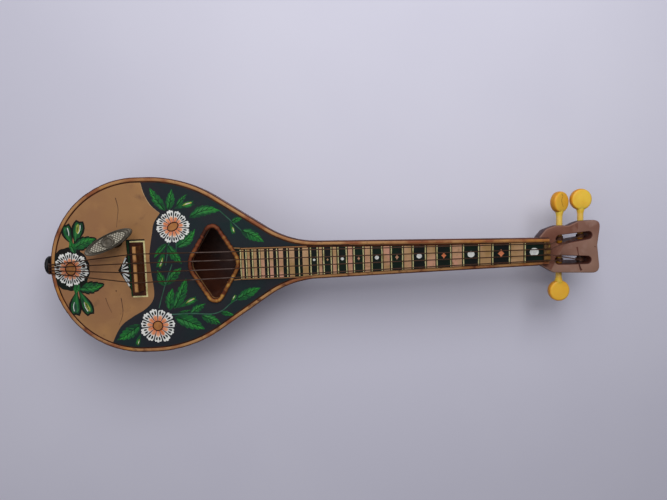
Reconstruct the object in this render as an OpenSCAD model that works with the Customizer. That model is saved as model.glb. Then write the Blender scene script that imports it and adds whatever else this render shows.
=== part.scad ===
// Toy mandolin with a wind-up music movement inside its bowl.
// X runs from the tail to the headstock, Z is up, and Y = 0 is the middle of the strings.
// The bowl's flat bottom stands on Z = 0, and the origin lies under the middle of the length.

/* [Body] */
// Radius of the round tail end of the body
tail_r = 32.6; // [32:0.1:33.5]
// Height of the soundboard's upper face above the table
top_z = 26; // [26:0.1:27]
// Wall of the moulded bowl
wall = 1.6; // [1.4:0.1:1.8]
// Thickness of the soundboard
board_t = 1.4; // [1.2:0.1:1.6]
// Width of the tan edging round the top
binding_w = 1.05; // [1:0.05:1.1]

/* [Neck and headstock] */
// Distance from the tail to the nut's front face
nut_x = 184.5; // [184:0.1:185]
// Depth of the neck under the board
neck_d = 9.2; // [9:0.1:9.5]
// Thickness of the headstock
head_t = 8.4; // [8:0.1:8.6]
// Diameter of a tuning peg's round grip
grip_d = 8.4; // [7.8:0.1:8.4]
// Diameter of a tuning peg's shaft
shaft_d = 2.3; // [2.2:0.05:2.5]

/* [Strings] */
// Diameter of a string
string_d = 0.42; // [0.3:0.02:0.5]
// Height of the bridge above the soundboard
bridge_h = 5; // [4.8:0.1:5.2]

/* [Winding key] */
// Length of the key's oval thumb piece
key_len = 18.5; // [17:0.1:18.6]
// Width of the thumb piece
key_w = 5.4; // [5:0.1:5.6]
// Angle of the thumb piece from the strings
key_turn = 26; // [0:1:90]

/* [Music movement] */
// Outer radius of the spring barrel
barrel_r = 10; // [9.8:0.1:10]
// Radius of the pinned cylinder
cylinder_r = 3.6; // [3.4:0.1:3.6]
// Teeth on the comb
comb_teeth = 12; // [10:1:14]

/* [Hidden] */
$fn = 48;

// The whole part runs from the tail button's face to the headstock's end.
button_out = 3.4;
head_end = 208.5;
mid_x = (head_end - button_out) / 2;

// Edges of the top: the shell's lip, then the binding, then the soundboard.
lip_w = 0.4;
lip_z = top_z - 0.3;
ledge_z = top_z - board_t;
field_in = lip_w + binding_w;

// Plan outline: round tail, fuller front arc, straight shoulder, hollow arc into the neck.
front_r = 45;
front_x = 36;
shoulder_turn = 33.4;
hollow_r = 35;
hollow_at = [98.7, tail_r + 9.5];
neck_taper = 1.2;
neck_x = hollow_at.x - hollow_r * sin(neck_taper);
neck_hw = hollow_at.y - hollow_r * cos(neck_taper);
neck_end = 183;
board_end = 187;
channel_hw = 2.9;
channel_d = 6.2;
function neck_half(x) = neck_hw - (x - neck_x) * tan(neck_taper);

// One side of the outline from the neck joint to the tail, moved in by the inset.
arc_steps = 9;
tail_steps = 17;
function side(inset) = concat(
  [for (k = [0:arc_steps])
    let (a = neck_taper + (shoulder_turn - neck_taper) * k / arc_steps)
    hollow_at - (hollow_r + inset) * [sin(a), cos(a)]],
  [for (k = [0:arc_steps])
    let (a = 90 - shoulder_turn + shoulder_turn * k / arc_steps)
    [front_x, tail_r - front_r] + (front_r - inset) * [cos(a), sin(a)]],
  [for (k = [0:tail_steps])
    let (a = 90 + 90 * k / tail_steps)
    [tail_r, 0] + (tail_r - inset) * [cos(a), sin(a)]]
);
function mirrored(pts) = [for (k = [len(pts) - 2:-1:0]) [pts[k].x, -pts[k].y]];
function rim(inset) = concat(side(inset), mirrored(side(inset)));
function outline(inset, x_end) = concat(
  [[x_end, neck_half(x_end) - inset]],
  rim(inset),
  [[x_end, inset - neck_half(x_end)]]
);

// The bowl is a superellipse in section, and its keel rises to the neck.
bowl_power = 2.6;
bowl_d = ledge_z + 2.5;
keel_tail = 30;
keel_front = 56;
bowl_steps = 11;
function ease(u) = u * u * (3 - 2 * u);
function keel_depth(x) =
  x <= keel_front ? bowl_d
    : neck_d + (bowl_d - neck_d) * ease((neck_x - x) / (neck_x - keel_front));
function bowl_point(edge, depth, floor_z, k) =
  let (a = 90 * k / bowl_steps, keel_x = min(neck_x, max(edge.x, keel_tail)))
  let (f = k == bowl_steps ? 0 : pow(cos(a), 2 / bowl_power))
  let (down = depth * pow(sin(a), 2 / bowl_power))
  [keel_x + (edge.x - keel_x) * f, edge.y * f, max(floor_z, ledge_z - down)];
function shell_profile(lip, outer, inner) =
  let (d = keel_depth(min(neck_x, outer.x)))
  concat(
    [[lip.x, lip.y, lip_z], [outer.x, outer.y, lip_z]],
    [for (k = [0:bowl_steps]) bowl_point(outer, d, 0, k)],
    [for (k = [bowl_steps:-1:0]) bowl_point(inner, d - wall, wall, k)],
    [[lip.x, lip.y, ledge_z]]
  );

// Sound hole: a diamond with round corners, the outline round two side circles and two tip circles.
hole_x = 59.35;
lobe_x = 2.45;
lobe_r = 5.5;
tip_y = 11.4;
tip_r = 1.7;
bead_w = 1.8;
function soft_diamond(grow) = [for (a = [0:5:355])
  let (n = [cos(a), sin(a)])
  lobe_x * abs(n.x) + lobe_r > tip_y * abs(n.y) + tip_r
    ? [hole_x + sign(n.x) * lobe_x, 0] + (lobe_r + grow) * n
    : [hole_x, sign(n.y) * tip_y] + (tip_r + grow) * n];

// Fingerboard and frets: dark blocks and light blocks shrink along the neck in two series.
finger_x = 69.3;
finger_t = 0.5;
finger_hw = neck_hw - field_in - 0.1;
first_gaps = [7.2, 6.1];
gap_ratio = 0.9;
neck_frets = 21;
body_fret_x = 91;
body_frets = 8;
body_gap = 4.4;
body_ratio = 0.88;
function finger_half(x) = finger_hw - (x - neck_x) * tan(neck_taper);

// Over the body the board runs straight, and it is wider on the -Y side.
flare_hw = 6.4;
flare_len = 8;
function finger_low(x) = x > neck_x ? finger_half(x)
  : min(flare_hw, finger_hw + (flare_hw - finger_hw) * (neck_x - x) / flare_len);
function fret_gap(n) = first_gaps[n % 2] * pow(gap_ratio, floor(n / 2));
function fret_x(n) = n == 0 ? nut_x : fret_x(n - 1) - fret_gap(n - 1);
function body_x(n) = body_fret_x - body_gap * (1 - pow(body_ratio, n)) / (1 - body_ratio);
fret_w = 0.5;
fret_h = 0.3;

// Headstock, with two through slots that the strings drop into.
head_top = top_z - 2.6;
shaft_z = head_top - head_t / 2;
peg_x = [194.1, 202.6];
peg_tilt = 25;
grip_y = [18.7, 19.5, -16.5];
fit = 0.1;
web_end = [1.2, -0.6];

head_plan = [
  [184, 5.2], [187, 8.6], [190.6, 9.8], [196, 9.6], [199.5, 11.2], [head_end + 0.4, 11.6],
  [head_end - 0.9, 1.6], [head_end + 0.4, -9.5], [190, -8.7], [184, -5.2]
];
head_round = 3;
slot_w = [3.5, 2.8];
slots = [[[192.6, 4.2], [203.8, 5.6]], [[192.4, -3.7], [203.6, -4.1]]];

// Strings: places on the tail edge, the bridge and the nut, then on the tuner shafts.
bridge_x = 31.9;
tail_y = [1.7, 0.7, -0.4, -1.5];
crest_y = [5, 1.7, -1.8, -5.4];
nut_y = [3.2, 1.1, -1.1, -3.2];
nut_w = 2.7;
nut_hw = finger_half(nut_x + nut_w);
nut_z = top_z + 1.3;
wound_x = [peg_x[0], peg_x[1], peg_x[1], peg_x[0]];
wound_y = [4.4, 5.2, -4.2, -4.2];
lift = string_d / 2 + 0.02;
wound_r = shaft_d / 2 + string_d;
button_at = [0, 1, top_z - 5];
string_hold = [-1.1, button_at.y, button_at.z + 2.4];

// Winding key and the movement's heights.
key_at = [24, 9.8];
key_z = top_z + 6;
key_t = 2.1;
arbor_d = 3;
plate_z = 5;
plate_t = 1.6;
deck_z = plate_z + plate_t;
barrel_z = deck_z + 0.4;
wheel_z = barrel_z + 6.4;
wheel_t = 1;
crown_r = [8.8, 10.6];
crown_teeth = 30;
pinion_teeth = 10;
tooth_w = 0.5;
crown_h = 1.1;
pitch = 2 * 3.14159265 * (crown_r[0] + crown_r[1]) / 2 / crown_teeth;
pinion_r = pitch * pinion_teeth / (2 * 3.14159265);
axle_z = wheel_z + wheel_t + 0.7 + pinion_r;
axle_d = 1.6;
pinion_y = key_at.y - crown_r[1] - 0.2;
front_y = pinion_y - 1.9;
drum_y = front_y - 1;
drum_len = 12.2;
wheel_y = drum_y - drum_len - 1.2;
rear_y = wheel_y - 1.4;
bracket_t = 1;
wheel_teeth = 28;
fan_teeth = 8;
fine_pitch = 1.1;
wheel_pr = wheel_teeth * fine_pitch / (2 * 3.14159265);
fan_pr = fan_teeth * fine_pitch / (2 * 3.14159265);
fan_x = key_at.x - wheel_pr - fan_pr - 0.1;
fan_d = 1;
comb_tip = key_at.x + cylinder_r + 0.75;
comb_len = 11;
screw_at = [[38, 13], [31.6, -13.6], [19.6, -8]];
shank_d = 1.6;

// A thin tube through a list of points, with one ring of eight corners at each point.
wire_sides = 8;
module wire(pts, d) {
  last = len(pts) - 1;
  rings = [for (k = [0:last])
    let (way = pts[min(last, k + 1)] - pts[max(0, k - 1)])
    let (ahead = way / norm(way), level = cross([0, 0, 1], ahead), across = level / norm(level))
    let (up = cross(ahead, across))
    for (c = [0:wire_sides - 1])
      let (a = 360 * c / wire_sides)
      pts[k] + d / 2 * (cos(a) * across + sin(a) * up)];
  polyhedron(rings, concat(
    [[for (c = [wire_sides - 1:-1:0]) c], [for (c = [0:wire_sides - 1]) last * wire_sides + c]],
    [for (k = [0:last - 1]) for (c = [0:wire_sides - 1])
      let (n = (c + 1) % wire_sides, here = k * wire_sides, there = here + wire_sides)
      each [[here + c, here + n, there + n], [here + c, there + n, there + c]]]
  ));
}

// Puts a shape drawn from the tail end in the part's own frame.
module from_tail() translate([-mid_x, 0, 0]) children();

// A spur gear in the XY plane.
module spur(teeth, r, depth, w, h) linear_extrude(h) {
  circle(r - depth / 2);
  for (k = [0:teeth - 1])
    rotate(360 * k / teeth)
      polygon([[r - depth, -w * 0.6], [r + depth / 2, -w * 0.3],
               [r + depth / 2, w * 0.3], [r - depth, w * 0.6]]);
}

// A screw with a slotted round head, its head's underside at Z = 0.
module screw(shank, head_r, head_h) difference() {
  union() {
    cylinder(r = head_r, h = head_h);
    translate([0, 0, -shank]) cylinder(d = shank_d, h = shank + 0.1);
  }
  translate([-head_r, -0.2, head_h - 0.4]) cube([2 * head_r, 0.4, 1]);
}

// Hollow bowl with a lip round the rim and an open end for the neck.
module back_shell() color([0.37, 0.2, 0.14]) from_tail() {
  lips = rim(lip_w);
  outers = rim(0);
  inners = rim(wall);
  rows = [for (k = [0:len(outers) - 1]) shell_profile(lips[k], outers[k], inners[k])];
  n = len(rows[0]);
  keel = bowl_steps + 2;
  pts = [for (row = rows) for (p = row) p];
  quads = [for (r = [0:len(rows) - 2]) for (c = [0:n - 1]) if (c != keel)
    let (d = (c + 1) % n)
    [r * n + c, (r + 1) * n + c, (r + 1) * n + d, r * n + d]];
  sides = [for (q = quads) for (t = [[q[0], q[1], q[2]], [q[0], q[2], q[3]]])
    if (pts[t[0]] != pts[t[1]] && pts[t[1]] != pts[t[2]] && pts[t[0]] != pts[t[2]]) t];
  last = (len(rows) - 1) * n;
  cap = concat(
    [for (c = [keel - 1:-1:0]) last + c],
    [for (c = [n - 1:-1:keel + 2]) last + c],
    [for (c = [keel + 1:n - 1]) c],
    [for (c = [0:keel]) c]
  );
  difference() {
    polyhedron(pts, concat(sides, [cap]));
    translate([-1, button_at.y, button_at.z]) rotate([0, 90, 0]) cylinder(d = 3, h = 5);
  }
}

// Neck: the bowl's end section carried on to the headstock, with the lip, the ledge and a moulded channel.
neck_thin = 0.6;
slice = 0.01;
module neck_section(x, depth) translate([x, 0, 0]) rotate([90, 0, 90]) linear_extrude(slice) {
  hw = neck_half(x);
  polygon(concat(
    [[hw, lip_z]],
    [for (k = [0:2 * bowl_steps]) let (a = 90 * k / bowl_steps)
      [hw * sign(cos(a)) * pow(abs(cos(a)), 2 / bowl_power),
       ledge_z - depth * pow(sin(a), 2 / bowl_power)]],
    [[-hw, lip_z]]
  ));
}
module neck_strip(x0, x1, inset) polygon([
  [x0, inset - neck_half(x0)], [x1, inset - neck_half(x1)],
  [x1, neck_half(x1) - inset], [x0, neck_half(x0) - inset]
]);
module neck() color([0.4, 0.24, 0.17]) from_tail() difference() {
  hull() {
    neck_section(neck_x, neck_d);
    neck_section(neck_end - slice, neck_d - neck_thin);
  }
  translate([0, 0, ledge_z]) linear_extrude(5) neck_strip(neck_x - 1, neck_end + 1, lip_w);
  translate([neck_x - 1, -channel_hw, ledge_z - channel_d])
    cube([neck_end - neck_x - 3, 2 * channel_hw, 9]);
}

// Headstock: a flat block with rounded corners, slots and peg holes.
module headstock() color([0.42, 0.29, 0.24]) from_tail() difference() {
  union() {
    translate([0, 0, head_top - head_t])
      linear_extrude(head_t)
        offset(r = head_round, $fn = 48) offset(delta = -head_round) polygon(head_plan);
    translate([neck_end, 0, head_top - 1]) linear_extrude(ledge_z - head_top + 1)
      polygon([[0, -neck_half(neck_end)], [board_end + 0.4 - neck_end, -neck_half(board_end)],
               [board_end + 0.4 - neck_end, neck_half(board_end)], [0, neck_half(neck_end)]]);
  }
  for (s = slots)
    translate([0, 0, head_top - head_t - 1]) linear_extrude(head_t + 2) hull()
      for (k = [0, 1]) translate(s[k]) circle(d = slot_w[k], $fn = 32);
  for (k = [0, 1], way = [1, -1])
    translate([peg_x[k], way > 0 ? web_end[0] : web_end[1], shaft_z])
      rotate([-90 * way, 0, 0]) cylinder(d = shaft_d + fit, h = 20);
}

// Top plate of body and neck, with the sound hole and the key hole.
module soundboard() color([0.6, 0.43, 0.28]) from_tail() difference() {
  translate([0, 0, ledge_z]) linear_extrude(board_t) polygon(outline(field_in, board_end));
  translate([0, 0, ledge_z - 1]) linear_extrude(board_t + 2) polygon(soft_diamond(0));
  translate([key_at.x, key_at.y, ledge_z - 1]) cylinder(d = 5.4, h = board_t + 2);
  translate([nut_x, -20, ledge_z - 1]) cube([20, 40, board_t + 2]);
}

// Tan edging on the ledge between the shell's lip and the soundboard.
module binding() color([0.62, 0.46, 0.32]) from_tail() difference() {
  translate([0, 0, ledge_z]) linear_extrude(board_t + 0.15) polygon(outline(lip_w, board_end));
  translate([0, 0, ledge_z - 1]) linear_extrude(board_t + 3) polygon(outline(field_in, board_end + 1));
}

// Raised bead round the sound hole.
module sound_hole_ring() color([0.55, 0.38, 0.16]) from_tail()
  translate([0, 0, top_z]) linear_extrude(1.1) difference() {
    polygon(soft_diamond(bead_w));
    polygon(soft_diamond(0));
  }

// Tapered board from the sound hole to the nut.
module fretboard() color([0.13, 0.12, 0.1]) from_tail()
  translate([0, 0, top_z]) linear_extrude(finger_t)
    polygon(concat(
      [for (x = [finger_x, neck_x - flare_len, neck_x, nut_x]) [x, -finger_low(x)]],
      [for (x = [nut_x, neck_x, finger_x]) [x, min(finger_hw, finger_half(x))]]
    ));

module fret(x) translate([x - fret_w / 2, -finger_low(x), top_z + finger_t])
  cube([fret_w, finger_low(x) + min(finger_hw, finger_half(x)), fret_h]);

// Thin cream ridges across the fingerboard.
module frets() color([0.85, 0.8, 0.6]) from_tail() {
  for (n = [1:neck_frets]) fret(fret_x(n));
  for (n = [0:body_frets - 1]) fret(body_x(n));
}

// Nut between the ends of the binding, with a groove for each string.
module nut() color([0.55, 0.4, 0.2]) from_tail() difference() {
  translate([nut_x, -nut_hw, ledge_z]) cube([nut_w, 2 * nut_hw, nut_z - ledge_z]);
  for (y = nut_y)
    translate([nut_x - 1, y, nut_z + lift - 0.02])
      rotate([0, 90, 0]) cylinder(d = string_d + 0.1, h = nut_w + 2);
}

// Bridge: a wedge with a groove for each string.
module bridge() color([0.55, 0.38, 0.22]) from_tail() difference() {
  translate([bridge_x, 7.6, top_z]) rotate([90, 0, 0]) linear_extrude(16.6)
    polygon([[-1.5, 0], [1.5, 0], [0.65, bridge_h], [-0.65, bridge_h]]);
  for (y = crest_y)
    translate([bridge_x - 3, y, top_z + bridge_h + lift - 0.02])
      rotate([0, 90, 0]) cylinder(d = string_d + 0.1, h = 6);
}

// Black button at the tail that holds the strings.
module tail_button() color([0.06, 0.06, 0.06]) from_tail()
  translate(button_at) rotate([0, -90, 0]) rotate_extrude()
    polygon([[0, -2.2], [1.5, -2.2], [1.5, 0.4], [2, 0.7], [1.9, 1.5], [3.2, 1.7], [3.5, 2.1],
             [3.4, 2.8], [2.8, 3.2], [1.8, button_out], [0, button_out]]);

// One string, from the tail button over the bridge and the nut to its tuner.
module string(k) color([0.35, 0.33, 0.32]) from_tail() {
  last = [wound_x[k] - wound_r * 0.55, wound_y[k], shaft_z + wound_r + 0.75];
  wire([
    [string_hold.x, string_hold.y + 0.5 * (1.5 - k), string_hold.z],
    [-0.45, tail_y[k], top_z + 0.3],
    [bridge_x, crest_y[k], top_z + bridge_h + lift],
    [nut_x + nut_w + 0.3, nut_y[k], nut_z + lift],
    last
  ], string_d);
}

// Turns of string round a tuner's shaft.
module string_winding(k) color([0.35, 0.33, 0.32]) from_tail()
  translate([wound_x[k], wound_y[k], shaft_z]) rotate([90, 0, 0]) rotate_extrude()
    for (turn = [-1:1])
      translate([shaft_d / 2 + string_d / 2, turn * string_d * 0.9]) circle(d = string_d, $fn = 16);

// Tuning peg: a shaft with a flat round grip turned about it, drawn along +Y and mirrored for -Y.
module peg(x, y, far_y, tilt = 0) color([0.8, 0.6, 0.18]) from_tail()
  translate([x, far_y, shaft_z]) mirror([0, y < 0 ? 1 : 0, 0]) {
    centre = abs(y - far_y);
    reach = centre - grip_d / 2;
    r = grip_d / 2;
    rotate([-90, 0, 0]) cylinder(d = shaft_d, h = reach + 1);
    translate([0, reach - 1.1, 0]) rotate([-90, 0, 0]) cylinder(d1 = shaft_d, d2 = shaft_d + 0.9, h = 1.6);
    translate([0, centre, 0]) rotate([0, tilt, 0]) rotate_extrude()
      polygon([[0, -1.3], [r - 0.9, -1.45], [r - 0.2, -1.1], [r, -0.5], [r, 0.5],
               [r - 0.2, 1.1], [r - 0.9, 1.45], [0, 1.3]]);
  }

// What is left of the fourth peg: its shaft, broken off at the headstock's side.
module peg_stub() color([0.16, 0.1, 0.08]) from_tail()
  translate([peg_x[1], web_end[1] - 0.2, shaft_z]) rotate([90, 0, 0]) cylinder(d = shaft_d, h = 9.8);

// Oval thumb piece on a collar.
module winding_key() color([0.45, 0.45, 0.43]) from_tail()
  translate([key_at.x, key_at.y, key_z]) difference() {
  union() {
    rotate(key_turn) {
      linear_extrude(key_t - 0.5) resize([key_len, key_w]) circle(d = key_len, $fn = 48);
      linear_extrude(key_t) resize([key_len - 1.2, key_w - 1.2]) circle(d = key_len, $fn = 48);
    }
    translate([0, 0, -5.2]) cylinder(d = 4.6, h = 5.4);
  }
  translate([0, 0, -6]) cylinder(d = arbor_d, h = 7);
}

// Arbor that the key, the barrel and the great wheel are fixed on.
module winding_arbor() color([0.6, 0.6, 0.6]) from_tail()
  translate([key_at.x, key_at.y, plate_z]) {
    cylinder(d = 2, h = plate_t + 0.4);
    translate([0, 0, plate_t + 0.2]) cylinder(d = arbor_d, h = key_z + 1 - deck_z - 0.2);
  }

// Crown wheel on top of the barrel, with its teeth pointing up.
module great_wheel() color([0.72, 0.6, 0.3]) from_tail()
  translate([key_at.x, key_at.y, wheel_z]) difference() {
    union() {
      cylinder(r = crown_r[1], h = wheel_t);
      for (k = [0:crown_teeth - 1])
        rotate(360 * k / crown_teeth)
          translate([crown_r[0], -tooth_w / 2, wheel_t - 0.1])
            cube([crown_r[1] - crown_r[0] - 0.1, tooth_w, crown_h + 0.1]);
    }
    translate([0, 0, -1]) cylinder(d = arbor_d, h = 4);
  }

// Cup that holds the mainspring.
module spring_barrel() color([0.7, 0.58, 0.28]) from_tail()
  translate([key_at.x, key_at.y, barrel_z]) difference() {
    cylinder(r = barrel_r, h = wheel_z - barrel_z);
    translate([0, 0, 0.8]) cylinder(r = barrel_r - 0.9, h = 10);
    translate([0, 0, -1]) cylinder(d = arbor_d, h = 4);
  }

// Flat spiral spring, wound from the arbor out to the barrel's wall.
module mainspring() color([0.35, 0.37, 0.42]) from_tail()
  translate([key_at.x, key_at.y, barrel_z + 1]) {
    turns = 5;
    steps = 24 * turns;
    start = arbor_d / 2 + 0.1;
    rise = (barrel_r - 1.1 - start - 0.3) / steps;
    edge = [for (k = [0:steps]) (start + rise * k) * [cos(15 * k), sin(15 * k)]];
    back = [for (k = [steps:-1:0]) (start + rise * k + 0.3) * [cos(15 * k), sin(15 * k)]];
    linear_extrude(wheel_z - barrel_z - 1.2) polygon(concat(edge, back));
  }

// Things on the cylinder's axis are drawn along -Y from a given place.
module on_axle(y, x = key_at.x) translate([x, y, axle_z]) rotate([90, 0, 0]) children();

// Pinned cylinder that plays the comb.
module music_cylinder() color([0.75, 0.62, 0.32]) from_tail() on_axle(drum_y) {
  difference() {
    cylinder(r = cylinder_r, h = drum_len);
    translate([0, 0, -1]) cylinder(d = axle_d, h = drum_len + 2);
  }
  for (k = [0:23])
    rotate(97 * k)
      translate([cylinder_r - 0.2, 0, 0.6 + (k * 5 % comb_teeth) * (drum_len - 1.2) / (comb_teeth - 1)])
        rotate([0, 90, 0]) cylinder(d = 0.4, h = 0.6, $fn = 16);
}

module cylinder_arbor() color([0.6, 0.6, 0.6]) from_tail()
  on_axle(pinion_y + 2.4) cylinder(d = axle_d, h = pinion_y + 2.4 - rear_y + bracket_t + 0.4);

// Pinion that the great wheel turns; a tooth points straight down between two crown teeth.
module drive_pinion() color([0.72, 0.6, 0.3]) from_tail()
  on_axle(pinion_y + 2.2) rotate(-90) difference() {
    spur(pinion_teeth, pinion_r, 0.9, tooth_w, 2.2);
    translate([0, 0, -1]) cylinder(d = axle_d, h = 5);
  }

// Wheel at the far end of the cylinder.
module cylinder_wheel() color([0.72, 0.6, 0.3]) from_tail()
  on_axle(wheel_y + 0.8) rotate(180) difference() {
    spur(wheel_teeth, wheel_pr, 0.5, 0.36, 0.8);
    translate([0, 0, -1]) cylinder(d = axle_d, h = 5);
  }

// Governor: a small pinion and a fan that slows the tune down.
module governor() color([0.65, 0.65, 0.65]) from_tail() {
  on_axle(front_y + 0.3, fan_x) cylinder(d = fan_d, h = front_y - rear_y + bracket_t + 0.6);
  on_axle(wheel_y + 1, fan_x) rotate(180 / fan_teeth) spur(fan_teeth, fan_pr, 0.5, 0.36, 1.2);
  translate([fan_x - 1.7, wheel_y + 2.6, axle_z - 0.15]) cube([3.4, 7, 0.3]);
}

// Cast plate that carries the movement.
module bedplate() color([0.55, 0.55, 0.5]) from_tail() translate([0, 0, plate_z]) difference() {
  linear_extrude(plate_t) hull() {
    for (y = [12.5, -14.4]) translate([22.2, y]) circle(r = 6, $fn = 32);
    for (y = [15, -17]) translate([37, y]) circle(r = 4, $fn = 32);
  }
  for (p = screw_at) translate([p.x, p.y, -1]) cylinder(d = shank_d + fit, h = 5);
  translate([key_at.x, key_at.y, -1]) cylinder(d = 2 + fit, h = 5);
}

// Hollow posts on the bowl's floor, under the bedplate.
module movement_posts() color([0.4, 0.24, 0.17]) from_tail()
  for (p = screw_at) translate([p.x, p.y, wall]) difference() {
    cylinder(r = 2, h = plate_z - wall);
    translate([0, 0, 0.6]) cylinder(d = shank_d, h = 5);
  }

module movement_screws() color([0.6, 0.6, 0.6]) from_tail()
  for (p = screw_at) translate([p.x, p.y, deck_z]) screw(plate_t + 2, 1.5, 0.9);

// Upright plate on a narrow foot, with a bearing hole for the cylinder and one for the governor.
foot_half = 4;
bracket_step = 7;
module bracket(y) color([0.7, 0.58, 0.28]) from_tail() difference() {
  left = fan_x - 2.2;
  right = key_at.x + foot_half;
  union() {
    translate([key_at.x - foot_half, y - bracket_t, deck_z])
      cube([2 * foot_half, bracket_t, bracket_step + 1]);
    translate([key_at.x - foot_half, y - bracket_t - 0.9, deck_z])
      cube([2 * foot_half, bracket_t + 0.9, 0.8]);
    translate([left, y - bracket_t, deck_z + bracket_step])
      cube([right - left, bracket_t, axle_z + 2 - deck_z - bracket_step]);
  }
  on_axle(y + 1) cylinder(d = axle_d + fit, h = 4);
  on_axle(y + 1, fan_x) cylinder(d = fan_d + fit, h = 4);
}
module front_bracket() bracket(front_y);
module rear_bracket() bracket(rear_y);

// Steel comb with one tongue for each note.
module comb() color([0.62, 0.63, 0.65]) from_tail()
  translate([comb_tip, drum_y - drum_len, axle_z - 0.6]) difference() {
    cube([comb_len, drum_len, 0.8]);
    for (k = [1:comb_teeth - 1])
      translate([-1, k * drum_len / comb_teeth - 0.1, -1]) cube([comb_len - 4, 0.2, 3]);
    for (y = [0.2, 0.8]) translate([comb_len - 2, y * drum_len, -1]) cylinder(d = shank_d + fit, h = 3);
  }

module comb_block() color([0.55, 0.55, 0.5]) from_tail()
  translate([comb_tip + comb_len - 4.4, drum_y - drum_len, deck_z]) difference() {
    cube([4.4, drum_len, axle_z - 0.6 - deck_z]);
    for (y = [0.2, 0.8]) translate([2.4, y * drum_len, 2]) cylinder(d = shank_d, h = 20);
  }

module comb_screws() color([0.6, 0.6, 0.6]) from_tail()
  for (y = [0.2, 0.8])
    translate([comb_tip + comb_len - 2, drum_y - drum_len + y * drum_len, axle_z + 0.2]) screw(4, 1.4, 0.9);

back_shell();
neck();
headstock();
soundboard();
binding();
sound_hole_ring();
fretboard();
frets();
nut();
bridge();
tail_button();
string(0);  // string_1
string(1);  // string_2
string(2);  // string_3
string(3);  // string_4
string_winding(0);  // string_winding_1
string_winding(1);  // string_winding_2
string_winding(3);  // string_winding_3
string_winding(2);  // string_winding_4
peg(peg_x[0], grip_y[0], web_end[0] + 0.2, peg_tilt);  // peg_1
peg(peg_x[1], grip_y[1], web_end[0] + 0.2);  // peg_2
peg(peg_x[0], grip_y[2], web_end[1] - 0.2);  // peg_3
peg_stub();
winding_key();
winding_arbor();
great_wheel();
spring_barrel();
mainspring();
music_cylinder();
cylinder_arbor();
drive_pinion();
cylinder_wheel();
governor();
bedplate();
movement_posts();
movement_screws();
front_bracket();
rear_bracket();
comb();
comb_block();
comb_screws();
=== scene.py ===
import math

import bmesh
import bpy
from mathutils import Matrix, Vector, noise
from mathutils.geometry import delaunay_2d_cdt


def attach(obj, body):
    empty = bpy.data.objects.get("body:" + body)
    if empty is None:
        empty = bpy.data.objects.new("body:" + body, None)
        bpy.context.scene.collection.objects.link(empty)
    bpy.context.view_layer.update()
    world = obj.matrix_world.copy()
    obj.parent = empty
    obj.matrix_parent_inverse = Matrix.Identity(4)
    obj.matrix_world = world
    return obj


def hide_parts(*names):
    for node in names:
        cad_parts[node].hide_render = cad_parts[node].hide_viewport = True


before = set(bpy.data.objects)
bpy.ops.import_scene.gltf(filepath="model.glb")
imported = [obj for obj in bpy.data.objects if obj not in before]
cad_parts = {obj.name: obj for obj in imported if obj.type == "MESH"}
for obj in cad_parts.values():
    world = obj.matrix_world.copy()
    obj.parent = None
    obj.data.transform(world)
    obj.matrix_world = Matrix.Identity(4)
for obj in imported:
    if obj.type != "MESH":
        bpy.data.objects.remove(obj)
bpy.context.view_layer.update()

# ---------------------------------------------------------------- sizes
# Lengths are in millimetres. X runs from the tail end of the top, Y from the neck's centre line
# and Z from the table.

MID_X = 102.55
TOP_Z = 26.0
LEDGE_Z = 24.6
LIP_Z = 25.7
LIP_W = 0.4
FIELD_IN = 1.45
WALL = 1.6

TAIL_R = 32.6
FRONT_R = 45.0
FRONT_X = 36.0
SHOULDER = math.radians(33.4)
HOLLOW_R = 35.0
HOLLOW = (98.7, TAIL_R + 9.5)
TAPER = math.radians(1.2)
NECK_X = HOLLOW[0] - HOLLOW_R * math.sin(TAPER)
NECK_HW = HOLLOW[1] - HOLLOW_R * math.cos(TAPER)
NECK_END = 183.0
BOARD_END = 187.0
NUT_X = 184.5
NECK_D = 9.2

BOWL_POWER = 2 / 2.6
BOWL_D = LEDGE_Z + 2.5
KEEL_TAIL = 30.0
KEEL_FRONT = 56.0

HOLE_X, LOBE_X, LOBE_R, TIP_Y, TIP_R = 59.35, 2.45, 5.5, 11.4, 1.7
BEAD_W, BEAD_H = 1.8, 1.1

FINGER_X = 69.3
FINGER_T = 0.5
FLARE_HW, FLARE_LEN = 6.4, 8.0
FRET_W, FRET_H = 0.5, 0.3

BRIDGE_X, BRIDGE_H = 31.9, 5.0
STRING_R = 0.21
TAIL_Y = (1.7, 0.7, -0.4, -1.5)
CREST_Y = (5.0, 1.7, -1.8, -5.4)
NUT_Y = (3.2, 1.1, -1.1, -3.2)
NUT_Z = TOP_Z + 1.3
PEG_X = (194.1, 202.6)
WOUND = ((PEG_X[0], 4.4), (PEG_X[1], 5.2), (PEG_X[1], -4.2), (PEG_X[0], -4.2))
SHAFT_R, SHAFT_Z = 1.15, 19.2
WOUND_R = SHAFT_R + 2 * STRING_R

KEY_AT, KEY_Z, KEY_T, KEY_TURN, KEY_HOLE_R = (24.0, 9.8), 32.0, 2.1, 26.0, 2.7


def at(x, y, z):
    """A point in millimetres from the tail, in the frame's metres."""
    return Vector(((x - MID_X) / 1000, y / 1000, z / 1000))


def ease(u):
    u = min(1.0, max(0.0, u))
    return u * u * (3 - 2 * u)


def rough_noise(x, y, scale, seed=0.0):
    """Smooth noise from -1 to 1 over the top."""
    return noise.noise(Vector((x * scale, y * scale, seed)))


# ---------------------------------------------------------------- materials


def colour(*levels):
    """A screen colour of 0 to 255, in Blender's linear colour."""
    def linear(level):
        return level / 255 / 12.92 if level <= 10 else ((level / 255 + 0.055) / 1.055) ** 2.4

    return (*map(linear, levels), 1.0)


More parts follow.
